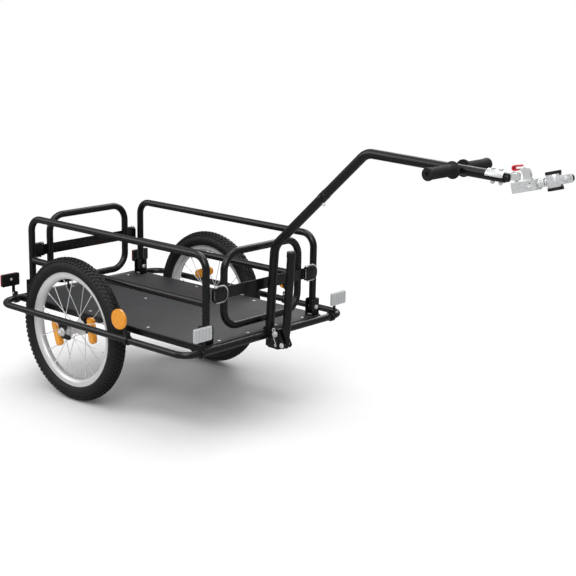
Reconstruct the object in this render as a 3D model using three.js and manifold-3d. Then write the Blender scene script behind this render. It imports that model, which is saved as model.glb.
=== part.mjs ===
// Two-wheeled cargo trailer that a bicycle tows by its seatpost.
// Sizes are in millimetres. X runs forward to the bicycle, Y to the left and Z up.
// Until the last lines X = 0 and Z = 0 lie on the wheel axle line.

import * as THREE from 'three';
import { mergeVertices } from 'three/addons/utils/BufferGeometryUtils.js';
import Module from 'manifold-3d';

const wasm = await Module();
wasm.setup();

// Clearances and facets shared by every piece
const seatGap = 0.3;
const cutOverrun = 1;
const weldTolerance = 1e-4;
const tubeSides = 10;
const fineSides = 14;
const smallSides = 8;
const wireSides = 6;
const bendSteps = 4;
const wheelSegments = 32;
const rightAngle = Math.PI / 2;
const sides = { right: -1, left: 1 };

// Wheels
const rimRadius = 160;
const tyreHeight = 40;
const tyreRadius = rimRadius + tyreHeight;
const tyreWidth = 46;
const tyreWall = 4;
const rimWidth = 25;
const rimDepth = 20;
const rimLipHeight = 8;
const rimLipWall = 2;
const rimBedDrop = 3;
const spokeCount = 20;
const spokeRadius = 1;
const spokeCrossing = THREE.MathUtils.degToRad(42);
const hubLength = 72;
const hubBarrelRadius = 13;
const hubFlangeRadius = 22;
const hubFlangeHalf = 24;
const hubFlangeWall = 3;
const axleRadius = 5;
const hubEndWall = 4;
const hubEndRadius = axleRadius + hubEndWall;
const axleNutRadius = 8.5;
const axleNutLength = 8;
const axleWasherRadius = 12;
const axleWasherWall = 2;
const axleTail = 3;
const spokeReflectorLength = 72;
const spokeReflectorHeight = 25;
const spokeReflectorWidth = 14;
const spokeReflectorInset = 84;
const spokeReflectorOrbit = rimRadius - spokeReflectorInset;
const spokeReflectorTurns = {
  right: [8, 199].map(THREE.MathUtils.degToRad),
  left: [110, 290].map(THREE.MathUtils.degToRad),
};

// Base frame and load floor: heights and places along the trailer follow its tubes
const frameLevel = 32;
const frameTubeRadius = 10;
const frameTubeWall = 1.8;
const frontTubeX = 483;
const frontTubeOverhang = 37;
const rearTubeX = -284;
const rearTubeOverhang = 7;
const sideBar = 15;
const sideBarHalfSpacing = 221.5;
const frontTubeHalf = sideBarHalfSpacing + sideBar / 2 + frontTubeOverhang;
const rearTubeHalf = sideBarHalfSpacing + sideBar / 2 + rearTubeOverhang;
const middleBarX = 235;
const crossBarPlaces = [0, middleBarX];
const boardThickness = 3;
const boardEndGap = 2;
const boardHalfWidth = sideBarHalfSpacing + sideBar / 2;
const boardFrontX = frontTubeX - frameTubeRadius - boardEndGap;
const boardRearX = rearTubeX + frameTubeRadius + boardEndGap;
const boardCornerRadius = 10;
const dropoutWall = 5;
const dropoutWidth = 38;
const dropoutLipLength = 31;
const dropoutLipHeight = 13;
const dropoutSlotGap = 0.4;
const dropoutSetOut = 3;
const wheelHalfTrack = sideBarHalfSpacing + dropoutSetOut + dropoutWall / 2 + hubLength / 2;

// Guard tubes that run outside the wheels
const guardSetOut = 2;
const guardHalfSpacing = wheelHalfTrack + hubLength / 2 + dropoutWall + guardSetOut;
const guardFrontBend = 39;
const guardRearBend = 56;
const spigotRadius = frameTubeRadius - frameTubeWall;
const spigotShoulder = 0.8;
const spigotLength = 28;
const guardRadius = spigotRadius + spigotShoulder;

// Side rails and their corner sockets
const railRadius = 9.7;
const railSideInset = 22;
const railFrontInset = 30;
const railRearInset = 34;
const railHalfSpacing = boardHalfWidth - railSideInset;
const railFrontX = frontTubeX - railFrontInset;
const railRearX = rearTubeX + railRearInset;
const railTopRise = 235;
const railTop = frameLevel + railTopRise;
const railLowerRise = 112;
const railLowerBar = frameLevel + railLowerRise;
const railBend = 38;
const socketMargin = 4;
const socketWidth = 2 * (railRadius + socketMargin);
const socketHeight = 47;
const socketWall = 3;
const socketBoltRadius = 4;
const socketBoltHeadRadius = 6;
const socketBoltHeadHeight = 4;
const socketBoltRise = 24;

// Front and rear panels
const panelSideInset = 64;
const panelHalfWidth = railHalfSpacing - panelSideInset;
const panelTopRise = 233;
const panelTop = frameLevel + panelTopRise;
const panelBottomRise = 38;
const panelBottom = frameLevel + panelBottomRise;
const panelBend = 48;
const panelBarRise = 135;
const panelBarLevel = frameLevel + panelBarRise;
const panelBarHeight = 30;
const panelBarWall = 4;
const panelBarHalf = railHalfSpacing - railRadius;
const panelPadWidth = 12;
const bracketDepth = 10;
const bracketLength = 44;
const bracketHeight = 36;
const bracketCorner = 15;
const bracketWall = 3;

// Wire lock pins on the panel brackets
const lockPinRadius = 3;
const lockWireRadius = 2;
const lockLoopReach = 42;
const lockLoopRise = 3;
const lockLoopHalfHeight = bracketHeight / 2 + lockLoopRise;
const lockLoopBend = 18;
const lockHeadRadius = 5;
const lockHeadHeight = 4;
const lockNearShare = 0.16;
const lockFarShare = 0.875;

// Drawbar tubes, the same size outside; the upper one is necked down where it slides in the lower one
const drawbarRadius = 12;
const drawbarWall = 1.5;
const insertRadius = drawbarRadius - drawbarWall;
const collarWall = 0.8;
const collarRadius = drawbarRadius + collarWall;
const collarLength = 24;

// Drawbar bracket, its pin and the prop stand
const bracketPlateWall = 3;
const bracketSideGap = 1;
const bracketHalfGap = drawbarRadius + bracketSideGap;
const bracketStandOff = 1;
const bracketRun = 44;
const bracketRearX = frontTubeX + bracketStandOff;
const bracketFrontX = bracketRearX + bracketRun;
const bracketTopRise = 23;
const bracketTop = frameLevel + bracketTopRise;
const bracketBottomDrop = 32;
const bracketBottom = frameLevel - bracketBottomDrop;
const standRadius = 11;
const standPivotGap = 1;
const standPivotX = bracketFrontX + standRadius + standPivotGap;
const standPivotDrop = 18;
const standPivotZ = frameLevel - standPivotDrop;
const earWall = 3;
const earRadius = 10;
const earReach = standPivotX + earRadius;
const earTopRise = 18;
const earTop = frameLevel + earTopRise;
const standLean = THREE.MathUtils.degToRad(3.2);
const standFootWall = 1;
const standFootRadius = standRadius + standFootWall;
const standFootHeight = 16;
const standBoltRadius = 4;
const standBoltHeadRadius = 7;
const standBoltHeadHeight = 4;
const drawbarPinSetback = 9.5;
const drawbarPinX = bracketFrontX - drawbarPinSetback;
const drawbarPinRise = 9;
const drawbarPinZ = frameLevel + drawbarPinRise;
const drawbarPinRadius = 4;
const drawbarPinHeadRadius = 8;
const drawbarPinHeadHeight = 5;
const drawbarPinTail = 8;

// Drawbar: its foot stands in the bracket, and its bends follow from the foot
const tongueEndGap = 1;
const tongueLength = 28;
const tongueFront = bracketFrontX - bracketPlateWall - tongueEndGap;
const tongueRear = tongueFront - tongueLength;
const tongueBottomDrop = 25;
const tongueBottom = frameLevel - tongueBottomDrop;
const tongueTopRise = 20;
const tongueTop = frameLevel + tongueTopRise;
const drawbarFootSetback = 13;
const drawbarFootX = tongueRear - drawbarFootSetback;
const drawbarFootRise = 14;
const drawbarFootZ = frameLevel + drawbarFootRise;
const lowerBendShift = 13.5;
const lowerBendX = drawbarFootX + lowerBendShift;
const lowerBendRise = 238.5;
const lowerBendZ = frameLevel + lowerBendRise;
const lowerBendRadius = 50;
const standTopDrop = 6.5;
const standLength = lowerBendZ - standPivotZ - standTopDrop;
const drawbarSlope = THREE.MathUtils.degToRad(43.15);
const slantX = Math.cos(drawbarSlope);
const slantZ = Math.sin(drawbarSlope);
const lowerSlantLength = 232;
const upperSlantLength = 165;
const drawbarInsert = 60;
const upperBendX = lowerBendX + (lowerSlantLength + upperSlantLength) * slantX;
const upperBendZ = lowerBendZ + (lowerSlantLength + upperSlantLength) * slantZ;
const upperBendRadius = 48;
const upperSlope = THREE.MathUtils.degToRad(-2.1347);
const upperRun = 387.9373;
const upperEndX = upperBendX + upperRun;
const upperEndZ = upperBendZ + upperRun * Math.tan(upperSlope);
const buttonRadius = 3.5;
const buttonStandOut = 7;
const buttonDepth = 14;
const buttonSetback = 26;
const endCapLength = 10;
const endCapRadius = drawbarRadius - 2.5;

// Handle
const handleSetback = 126;
const handleX = upperEndX - handleSetback;
const handleZ = upperEndZ - handleSetback * Math.tan(upperSlope);
const handleBarRadius = 8;
const handleHalfLength = 116;
const gripWall = 5.8;
const gripRadius = handleBarRadius + gripWall;
const gripFlangeHeight = 6.7;
const gripFlangeRadius = gripRadius + gripFlangeHeight;
const gripFlangeWall = 5;
const gripInnerEnd = 20;
const gripEndWall = 5;
const gripOuterEnd = handleHalfLength + gripEndWall;
const gripEndHoleRadius = 5;

// Coupling eye bolted on the drawbar's end
const ballRadius = 7.5;
const ballClearance = 0.5;
const eyeBoreRadius = ballRadius + ballClearance;
const eyeWall = 3;
const eyeOuterRadius = eyeBoreRadius + eyeWall;
const eyeHalfHeight = 8;
const eyeReach = 25;
const eyeRise = 6.3963;
const eyeX = upperEndX + eyeReach;
const eyeZ = upperEndZ + eyeReach * Math.tan(upperSlope) + eyeRise;
const saddleLength = 46;
const saddleStartX = upperEndX - saddleLength;
const saddleWall = 2.6;
const saddleNeckOverlap = 12.5;
const neckHalfWidth = 7;
const neckThickness = 3.5;
const neckLift = 0.4;
const saddleBoltInset = 13;
const saddleBoltSpacing = 21;
const firstSaddleBoltX = saddleStartX + saddleBoltInset;
const saddleBoltPlaces = [firstSaddleBoltX, firstSaddleBoltX + saddleBoltSpacing];
const saddleBoltRadius = 3;
const saddleBoltHeadRadius = 5.5;
const saddleBoltHeadHeight = 4;
const saddleBoltReach = 19;

// Seatpost hitch, measured along its own axis from the ball's centre
const hitchPitch = THREE.MathUtils.degToRad(-15);
const postNeckRadius = 3.5;
const postFlangeRadius = 7;
const postFlangeWall = 3;
const postShowing = 4.5;
const channelTop = -eyeHalfHeight - postShowing;
const channelRear = -9;
const channelFront = 53;
const channelHalfWidth = 12;
const channelDepth = 24;
const channelWall = 3;
const hookClearance = 4;
const hookInnerRadius = eyeOuterRadius + hookClearance;
const hookWall = 6;
const hookOuterRadius = hookInnerRadius + hookWall;
const hookSetForward = 6;
const hookCentreShift = 12;
const hookHalfWidth = 5.5;
const hookStart = THREE.MathUtils.degToRad(-38);
const hookEnd = THREE.MathUtils.degToRad(58);
const hookPivotU = 34;
const hookPivotDrop = 15.5;
const hookPivotW = channelTop - hookPivotDrop;
const hookStemHalf = 6;
const hookPinRadius = 3;
const hookPinHeadRadius = 4.5;
const hookPinHeadHeight = 2;
const leverGripLength = 17;
const leverGripHeight = 13;
const leverGripHalfWidth = 8;
const leverTangLength = 10;
const leverTangHeight = 5;
const leverTangLift = 0.5;
const leverTangRoot = 9;
const leverGripDrop = 1;
const swivelDrop = 10.5;
const swivelLevel = channelTop - swivelDrop;
const swivelBoltRadius = 4;
const swivelHeadRadius = 7;
const swivelHeadHeight = 5;
const springRadius = 8.6;
const springWireRadius = 1.4;
const springRoom = 21;
const springCurls = 4;
const springStepsPerCurl = 8;
const springSides = 5;
const springLeadSteps = 3;
const bushBoreRadius = 12.7;
const bushWall = 2.3;
const bushFlangeWall = 6.5;
const bushFlangeOverhang = 0.5;
const clampInnerRadius = bushBoreRadius + bushWall;
const clampWall = 2;
const clampOuterRadius = clampInnerRadius + clampWall;
const bushFlangeRadius = clampOuterRadius + bushFlangeOverhang;
const clampHeight = 28;
const clampBossRadius = 9.5;
const clampBossLength = 2;
const clampCentreU = channelFront + springRoom + clampBossLength + clampOuterRadius;
const clampEarLength = 24;
const clampEarWall = 3.2;
const clampEarHalfGap = 4;
const clampEarHeight = 20;
const clampBoltSetback = 9;
const clampBoltRadius = 3;
const clampNutRadius = 6.5;
const clampNutHeight = 5;
const clampKnobRadius = 9.5;
const clampKnobHeight = 8;

// Reflectors
const sideReflectorX = 250;
const sideReflectorRise = 55;
const sideReflectorZ = frameLevel + sideReflectorRise;
const sideReflectorRadius = 27;
const sideReflectorThickness = 7;
const sideReflectorStandOut = guardRadius;
const sideClampSetOut = 17;
const sideClampX = sideReflectorX + sideClampSetOut;
const clampRingWall = 3.5;
const clampRingWidth = 12;
const stemWidth = 11;
const stemThickness = 4;
const endReflectorWidth = 60;
const endReflectorHeight = 36;
const endReflectorSize = [endReflectorWidth, endReflectorHeight];
const endReflectorThickness = 8;
const endReflectorCorner = 4;
const endReflectorRise = 53;
const endReflectorZ = frameLevel + endReflectorRise;
const endReflectorSetOut = 16;
const frontClampInset = 12;
const frontClampY = frontTubeHalf - frontClampInset;
const frontReflectorShift = 10;
const frontReflectorY = frontClampY + frontReflectorShift;
const frontReflectorX = frontTubeX + endReflectorSetOut;
const rearClampGap = 7;
const rearClampY = rearTubeHalf + seatGap + rearClampGap;
const rearReflectorShift = 6.7;
const rearReflectorY = rearClampY + rearReflectorShift;
const rearReflectorX = rearTubeX - endReflectorSetOut;
const rearLensThickness = 3;

const steelBlack = { color: '#2b2b2d', roughness: 0.5, metalness: 0.35 };
const boardGrey = { color: '#444446', roughness: 0.8, metalness: 0 };
const alloySilver = { color: '#c4c6c8', roughness: 0.35, metalness: 0.85 };
const zincBright = { color: '#d6d8da', roughness: 0.3, metalness: 0.9 };
const wireSteel = { color: '#d0d2d4', roughness: 0.3, metalness: 0.9 };
const tyreRubber = { color: '#27272a', roughness: 0.85, metalness: 0 };
const gripRubber = { color: '#1f1f21', roughness: 0.75, metalness: 0 };
const blackPlastic = { color: '#19191b', roughness: 0.5, metalness: 0 };
const amberPlastic = { color: '#f0a040', roughness: 0.25, metalness: 0 };
const clearPlastic = { color: '#dcdcdc', roughness: 0.25, metalness: 0 };
const redPlastic = { color: '#a01020', roughness: 0.25, metalness: 0 };
const leverRed = { color: '#c8102e', roughness: 0.4, metalness: 0 };

// Solids are closed meshes: one is made from a geometry, joined or cut, and turned back.
function solidOf(geometry) {
  const bare = geometry.clone();
  bare.deleteAttribute('normal');
  bare.deleteAttribute('uv');
  const welded = mergeVertices(bare, weldTolerance);
  const corners = welded.index.array;
  const faces = [];
  for (let i = 0; i < corners.length; i += 3) {
    const [a, b, c] = [corners[i], corners[i + 1], corners[i + 2]];
    if (a !== b && b !== c && c !== a) {
      faces.push(a, b, c);
    }
  }
  const solid = new wasm.Manifold(new wasm.Mesh({
    numProp: 3,
    vertProperties: new Float32Array(welded.attributes.position.array),
    triVerts: new Uint32Array(faces),
  }));
  return solid;
}

function geometryOf(solid) {
  const data = solid.getMesh();
  const shared = new THREE.BufferGeometry();
  shared.setAttribute('position', new THREE.BufferAttribute(data.vertProperties, 3));
  shared.setIndex(new THREE.BufferAttribute(data.triVerts, 1));
  const geometry = shared.toNonIndexed();
  geometry.computeVertexNormals();
  return geometry;
}

function join(solids) {
  return solids.reduce((whole, solid) => whole.add(solid));
}

function cut(solid, tools) {
  return tools.reduce((rest, tool) => rest.subtract(tool), solid);
}

function addPiece(parent, name, solid, finish) {
  const mesh = new THREE.Mesh(geometryOf(solid), new THREE.MeshStandardMaterial(finish));
  mesh.name = name;
  parent.add(mesh);
  return mesh;
}

// The radius of a faceted bore whose flats clear a round pin.
function boreFor(radius, facets = tubeSides) {
  return (radius + seatGap) / Math.cos(Math.PI / facets);
}

function rod(radius, start, end, facets = tubeSides) {
  const from = new THREE.Vector3(...start);
  const span = new THREE.Vector3(...end).sub(from);
  const geometry = new THREE.CylinderGeometry(radius, radius, span.length(), facets);
  const turn = new THREE.Quaternion();
  turn.setFromUnitVectors(new THREE.Vector3(0, 1, 0), span.clone().normalize());
  geometry.applyQuaternion(turn);
  geometry.translate(...from.addScaledVector(span, 0.5).toArray());
  return solidOf(geometry);
}

// A box between two opposite corners.
function block(low, high) {
  const size = high.map((value, i) => value - low[i]);
  const geometry = new THREE.BoxGeometry(...size);
  geometry.translate(...low.map((value, i) => value + size[i] / 2));
  return solidOf(geometry);
}

// A plate whose outline lies in X and Z, and whose thickness runs from one Y to another.
function plateAcrossY(outline, fromY, toY, arcSegments = smallSides) {
  const geometry = new THREE.ExtrudeGeometry(outline, {
    depth: toY - fromY,
    bevelEnabled: false,
    curveSegments: arcSegments,
  });
  geometry.rotateX(rightAngle);
  geometry.translate(0, toY, 0);
  return solidOf(geometry);
}

// A plate whose outline lies in X and Y, and whose thickness runs from one Z to another.
function plateAcrossZ(outline, fromZ, toZ, arcSegments = smallSides) {
  const geometry = new THREE.ExtrudeGeometry(outline, {
    depth: toZ - fromZ,
    bevelEnabled: false,
    curveSegments: arcSegments,
  });
  geometry.translate(0, 0, fromZ);
  return solidOf(geometry);
}

// A turned piece: its profile is a closed loop of [radius, height] about the Y axis.
function turned(profile, segments) {
  const points = profile.map(([radius, height]) => new THREE.Vector2(radius, height));
  points.push(points[0].clone());
  return solidOf(new THREE.LatheGeometry(points, segments));
}

function roundedRectangle(halfWidth, halfHeight, radius) {
  const shape = new THREE.Shape();
  shape.moveTo(-halfWidth + radius, -halfHeight);
  shape.absarc(halfWidth - radius, -halfHeight + radius, radius, -rightAngle, 0, false);
  shape.absarc(halfWidth - radius, halfHeight - radius, radius, 0, rightAngle, false);
  shape.absarc(-halfWidth + radius, halfHeight - radius, radius, rightAngle, 2 * rightAngle, false);
  shape.absarc(-halfWidth + radius, -halfHeight + radius, radius, 2 * rightAngle, 3 * rightAngle, false);
  shape.closePath();
  return shape;
}

// An upright plate that faces along X, from one X to another.
function facingPlate(fromX, toX, y, z, size, corner) {
  const outline = roundedRectangle(size[0] / 2, size[1] / 2, corner);
  const plate = plateAcrossZ(outline, 0, toX - fromX, bendSteps);
  return plate.rotate([90, 0, 90]).translate([fromX, y, z]);
}

// A path that visits its stations at equal steps, whatever the distance between them.
class StationPath extends THREE.Curve {
  constructor(stations) {
    super();
    this.stations = stations;
  }

  stationAt(t) {
    return this.stations[Math.round(t * (this.stations.length - 1))];
  }

  getPoint(t, target = new THREE.Vector3()) {
    return target.copy(this.stationAt(t).point);
  }

  getPointAt(t, target) {
    return this.getPoint(t, target);
  }

  getTangent(t, target = new THREE.Vector3()) {
    return target.copy(this.stationAt(t).tangent);
  }

  getTangentAt(t, target) {
    return this.getTangent(t, target);
  }
}

// Stations along a polyline whose corners are rounded, one bend radius for each corner.
function bentStations(corners, bendRadii) {
  const points = corners.map((corner) => new THREE.Vector3(...corner));
  const stations = [];
  let heading = points[1].clone().sub(points[0]).normalize();
  stations.push({ point: points[0], tangent: heading });
  for (let i = 1; i < points.length - 1; i += 1) {
    const next = points[i + 1].clone().sub(points[i]).normalize();
    const turn = heading.angleTo(next);
    const radius = bendRadii[i - 1];
    const setback = radius * Math.tan(turn / 2);
    const inward = next.clone().addScaledVector(heading, -heading.dot(next)).normalize();
    const start = points[i].clone().addScaledVector(heading, -setback);
    for (let step = 0; step <= bendSteps; step += 1) {
      const angle = turn * step / bendSteps;
      const point = start.clone()
        .addScaledVector(heading, radius * Math.sin(angle))
        .addScaledVector(inward, radius * (1 - Math.cos(angle)));
      const tangent = heading.clone().multiplyScalar(Math.cos(angle))
        .addScaledVector(inward, Math.sin(angle));
      if (point.distanceTo(stations.at(-1).point) > weldTolerance) {
        stations.push({ point, tangent });
      }
    }
    heading = next;
  }
  stations.push({ point: points.at(-1), tangent: heading });
  return stations;
}

function circleOutline(radius, facets) {
  const points = [];
  for (let i = 0; i < facets; i += 1) {
    const angle = 2 * Math.PI * (i + 0.5) / facets;
    points.push(new THREE.Vector2(radius * Math.cos(angle), radius * Math.sin(angle)));
  }
  return new THREE.Shape(points);
}

function sweep(radius, stations, facets) {
  return solidOf(new THREE.ExtrudeGeometry(circleOutline(radius, facets), {
    steps: stations.length - 1,
    extrudePath: new StationPath(stations),
    bevelEnabled: false,
  }));
}

function bentTube(radius, corners, bendRadii, facets = tubeSides) {
  return sweep(radius, bentStations(corners, bendRadii), facets);
}

const trailer = new THREE.Group();

// Base frame: front and rear cross tubes, square side and cross bars, and the inner dropouts
const sideBarBottom = frameLevel - frameTubeRadius;
const sideBarTop = sideBarBottom + sideBar;
const boardTop = sideBarTop + seatGap + boardThickness;

function dropoutOutline(topZ) {
  const slotHalf = axleRadius + dropoutSlotGap;
  const lipBottom = -slotHalf - dropoutLipHeight;
  const lipEnd = dropoutLipLength - dropoutLipHeight / 2;
  const outline = new THREE.Shape();
  outline.moveTo(-dropoutWidth / 2, topZ);
  outline.lineTo(-axleWasherRadius, -slotHalf);
  outline.lineTo(-axleRadius, lipBottom);
  outline.lineTo(lipEnd, lipBottom);
  outline.absarc(lipEnd, lipBottom + dropoutLipHeight / 2, dropoutLipHeight / 2, -rightAngle, rightAngle);
  outline.lineTo(0, -slotHalf);
  outline.absarc(0, 0, slotHalf, -rightAngle, rightAngle, true);
  outline.lineTo(axleWasherRadius, slotHalf);
  outline.lineTo(dropoutWidth / 2, topZ);
  outline.closePath();
  return outline;
}

function dropout(side, innerY, topZ) {
  const near = side * innerY;
  const far = side * (innerY + dropoutWall);
  return plateAcrossY(dropoutOutline(topZ), Math.min(near, far), Math.max(near, far));
}

const innerDropoutY = wheelHalfTrack - hubLength / 2 - dropoutWall;
const outerDropoutY = wheelHalfTrack + hubLength / 2;

function spigotBore(x, tubeHalf, side) {
  const deep = side * (tubeHalf - spigotLength - seatGap);
  const mouth = side * (tubeHalf + cutOverrun);
  return rod(boreFor(spigotRadius), [x, deep, frameLevel], [x, mouth, frameLevel]);
}

function buildBaseFrame() {
  const bars = [
    rod(frameTubeRadius, [frontTubeX, -frontTubeHalf, frameLevel], [frontTubeX, frontTubeHalf, frameLevel]),
    rod(frameTubeRadius, [rearTubeX, -rearTubeHalf, frameLevel], [rearTubeX, rearTubeHalf, frameLevel]),
  ];
  const inner = sideBarHalfSpacing - sideBar / 2;
  const outer = sideBarHalfSpacing + sideBar / 2;
  for (const side of Object.values(sides)) {
    const low = Math.min(side * inner, side * outer);
    bars.push(block([rearTubeX, low, sideBarBottom], [frontTubeX, low + sideBar, sideBarTop]));
    bars.push(dropout(side, innerDropoutY, sideBarTop - dropoutWall));
  }
  for (const x of crossBarPlaces) {
    bars.push(block(
      [x - sideBar / 2, -sideBarHalfSpacing, sideBarBottom],
      [x + sideBar / 2, sideBarHalfSpacing, sideBarTop],
    ));
  }
  const bores = Object.values(sides).flatMap((side) => [
    spigotBore(frontTubeX, frontTubeHalf, side),
    spigotBore(rearTubeX, rearTubeHalf, side),
  ]);
  return cut(join(bars), bores);
}

function buildFloorBoard() {
  const outline = roundedRectangle((boardFrontX - boardRearX) / 2, boardHalfWidth, boardCornerRadius);
  const board = plateAcrossZ(outline, boardTop - boardThickness, boardTop, 2);
  return board.translate([(boardFrontX + boardRearX) / 2, 0, 0]);
}

addPiece(trailer, 'base_frame', buildBaseFrame(), steelBlack);
addPiece(trailer, 'floor_board', buildFloorBoard(), boardGrey);

// Guard tubes: each plugs into the cross tubes and carries the outer dropout
function buildGuardTube(side) {
  const outerY = side * guardHalfSpacing;
  const frontY = side * (frontTubeHalf + seatGap);
  const rearY = side * (rearTubeHalf + seatGap);
  const tube = bentTube(guardRadius, [
    [frontTubeX, frontY, frameLevel],
    [frontTubeX, outerY, frameLevel],
    [rearTubeX, outerY, frameLevel],
    [rearTubeX, rearY, frameLevel],
  ], [guardFrontBend, guardRearBend]);
  const spigots = [[frontTubeX, frontTubeHalf], [rearTubeX, rearTubeHalf]].map(([x, tubeHalf]) => rod(
    spigotRadius,
    [x, side * (tubeHalf - spigotLength), frameLevel],
    [x, side * (tubeHalf + seatGap + cutOverrun), frameLevel],
  ));
  return join([tube, ...spigots, dropout(side, outerDropoutY, frameLevel)]);
}

for (const [name, side] of Object.entries(sides)) {
  addPiece(trailer, `guard_tube_${name}`, buildGuardTube(side), steelBlack);
}

// Corner sockets: a channel on the board that holds a rail foot on a cross bolt
const socketFloor = boardTop + seatGap;
const socketBoltZ = boardTop + socketBoltRise;

function buildCornerSocket(side) {
  const half = socketWidth / 2;
  const top = socketFloor + socketHeight;
  const body = block([-half, -half, socketFloor], [half, half, top]);
  const openEnd = -side * (half + cutOverrun);
  const wallFace = side * (railRadius + seatGap);
  const pocket = block(
    [-half + socketWall, Math.min(openEnd, wallFace), socketFloor + socketWall],
    [half - socketWall, Math.max(openEnd, wallFace), top + cutOverrun],
  );
  const boltEnd = half + socketBoltHeadHeight;
  return join([
    cut(body, [pocket]),
    rod(socketBoltRadius, [-half, 0, socketBoltZ], [half, 0, socketBoltZ], smallSides),
    rod(socketBoltHeadRadius, [-boltEnd, 0, socketBoltZ], [-half + cutOverrun, 0, socketBoltZ], smallSides),
    rod(socketBoltHeadRadius, [half - cutOverrun, 0, socketBoltZ], [boltEnd, 0, socketBoltZ], smallSides),
  ]);
}

for (const [name, side] of Object.entries(sides)) {
  for (const [end, x] of [['front', railFrontX], ['rear', railRearX]]) {
    const socket = addPiece(trailer, `socket_${end}_${name}`, buildCornerSocket(side), steelBlack);
    socket.position.set(x, side * railHalfSpacing, 0);
  }
}

// Side rails: a hoop whose feet stand in the sockets, with a lower bar
function buildSideRail() {
  const footZ = socketBoltZ - railRadius;
  const hoop = bentTube(railRadius, [
    [railFrontX, 0, footZ],
    [railFrontX, 0, railTop],
    [railRearX, 0, railTop],
    [railRearX, 0, footZ],
  ], [railBend, railBend]);
  const lowerBar = rod(railRadius, [railRearX, 0, railLowerBar], [railFrontX, 0, railLowerBar]);
  const reach = railRadius + cutOverrun;
  const boltBores = [railFrontX, railRearX].map((x) => rod(
    boreFor(socketBoltRadius, smallSides),
    [x - reach, 0, socketBoltZ],
    [x + reach, 0, socketBoltZ],
    smallSides,
  ));
  return cut(join([hoop, lowerBar]), boltBores);
}

for (const [name, side] of Object.entries(sides)) {
  const rail = addPiece(trailer, `side_rail_${name}`, buildSideRail(), steelBlack);
  rail.position.y = side * railHalfSpacing;
}

// End panels: a closed tube loop with a flat bar in front of it and a box bracket at each end.
// A panel is drawn about its own middle, with +X pointing out of the load space.
const barBack = railRadius + seatGap;
const barFace = barBack + panelBarWall;
const bracketFace = barFace + bracketDepth;
const lockX = barFace + (bracketDepth - bracketWall) / 2;
const lockPlaces = {
  near: -panelBarHalf + bracketLength * lockNearShare,
  far: panelBarHalf - bracketLength * lockFarShare,
};

function buildPanel() {
  const barLow = panelBarLevel - panelBarHeight / 2;
  const barHigh = panelBarLevel + panelBarHeight / 2;
  const bracketLow = panelBarLevel - bracketHeight / 2;
  const bracketHigh = panelBarLevel + bracketHeight / 2;
  const middle = (panelTop + panelBottom) / 2;
  const halves = [panelTop, panelBottom].map((endZ) => bentTube(railRadius, [
    [0, -panelHalfWidth, middle],
    [0, -panelHalfWidth, endZ],
    [0, panelHalfWidth, endZ],
    [0, panelHalfWidth, middle],
  ], [panelBend, panelBend]));
  const pieces = [...halves, block([barBack, -panelBarHalf, barLow], [barFace, panelBarHalf, barHigh])];
  const lockBores = [];
  for (const side of Object.values(sides)) {
    const padY = side * panelHalfWidth;
    pieces.push(block(
      [0, padY - panelPadWidth / 2, panelBarLevel - panelPadWidth],
      [barBack + cutOverrun, padY + panelPadWidth / 2, panelBarLevel + panelPadWidth],
    ));
    const start = side > 0 ? panelBarHalf - bracketLength : -panelBarHalf;
    const box = facingPlate(
      barFace - cutOverrun,
      bracketFace,
      start + bracketLength / 2,
      panelBarLevel,
      [bracketLength, bracketHeight],
      bracketCorner,
    );
    const squareEnd = block(
      [barFace - cutOverrun, start, bracketLow],
      [bracketFace, start + bracketLength - bracketCorner, bracketHigh],
    );
    const hollow = block(
      [barFace, start - cutOverrun, bracketLow + bracketWall],
      [bracketFace - bracketWall, start + bracketLength + cutOverrun, bracketHigh - bracketWall],
    );
    pieces.push(cut(join([box, squareEnd]), [hollow]));
  }
  for (const y of Object.values(lockPlaces)) {
    lockBores.push(rod(
      boreFor(lockPinRadius, smallSides),
      [lockX, y, bracketLow - cutOverrun],
      [lockX, y, bracketHigh + cutOverrun],
      smallSides,
    ));
  }
  return cut(join(pieces), lockBores);
}

// A round-wire lock pin: its pin stands in the bracket and its wire loops round the bracket's end.
function buildLockPin() {
  const wire = bentTube(lockWireRadius, [
    [0, 0, lockLoopHalfHeight],
    [0, lockLoopReach, lockLoopHalfHeight],
    [0, lockLoopReach, -lockLoopHalfHeight],
    [0, lockPinRadius, -lockLoopHalfHeight],
  ], [lockLoopBend, lockLoopBend], wireSides);
  const headLow = lockLoopHalfHeight - lockHeadHeight / 2;
  const headHigh = lockLoopHalfHeight + lockHeadHeight / 2;
  const pinEnd = -lockLoopHalfHeight + lockWireRadius + seatGap;
  return join([
    wire,
    rod(lockPinRadius, [0, 0, pinEnd], [0, 0, headHigh], smallSides),
    rod(lockHeadRadius, [0, 0, headLow], [0, 0, headHigh], smallSides),
  ]);
}

for (const [end, x, turn] of [['front', railFrontX, 0], ['rear', railRearX, 2 * rightAngle]]) {
  const panelPlace = new THREE.Group();
  panelPlace.position.x = x;
  panelPlace.rotation.z = turn;
  trailer.add(panelPlace);
  addPiece(panelPlace, `panel_${end}`, buildPanel(), steelBlack);
  for (const [place, y] of Object.entries(lockPlaces)) {
    const lock = addPiece(panelPlace, `lock_pin_${end}_${place}`, buildLockPin(), wireSteel);
    lock.position.set(lockX, y, panelBarLevel);
  }
}

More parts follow.
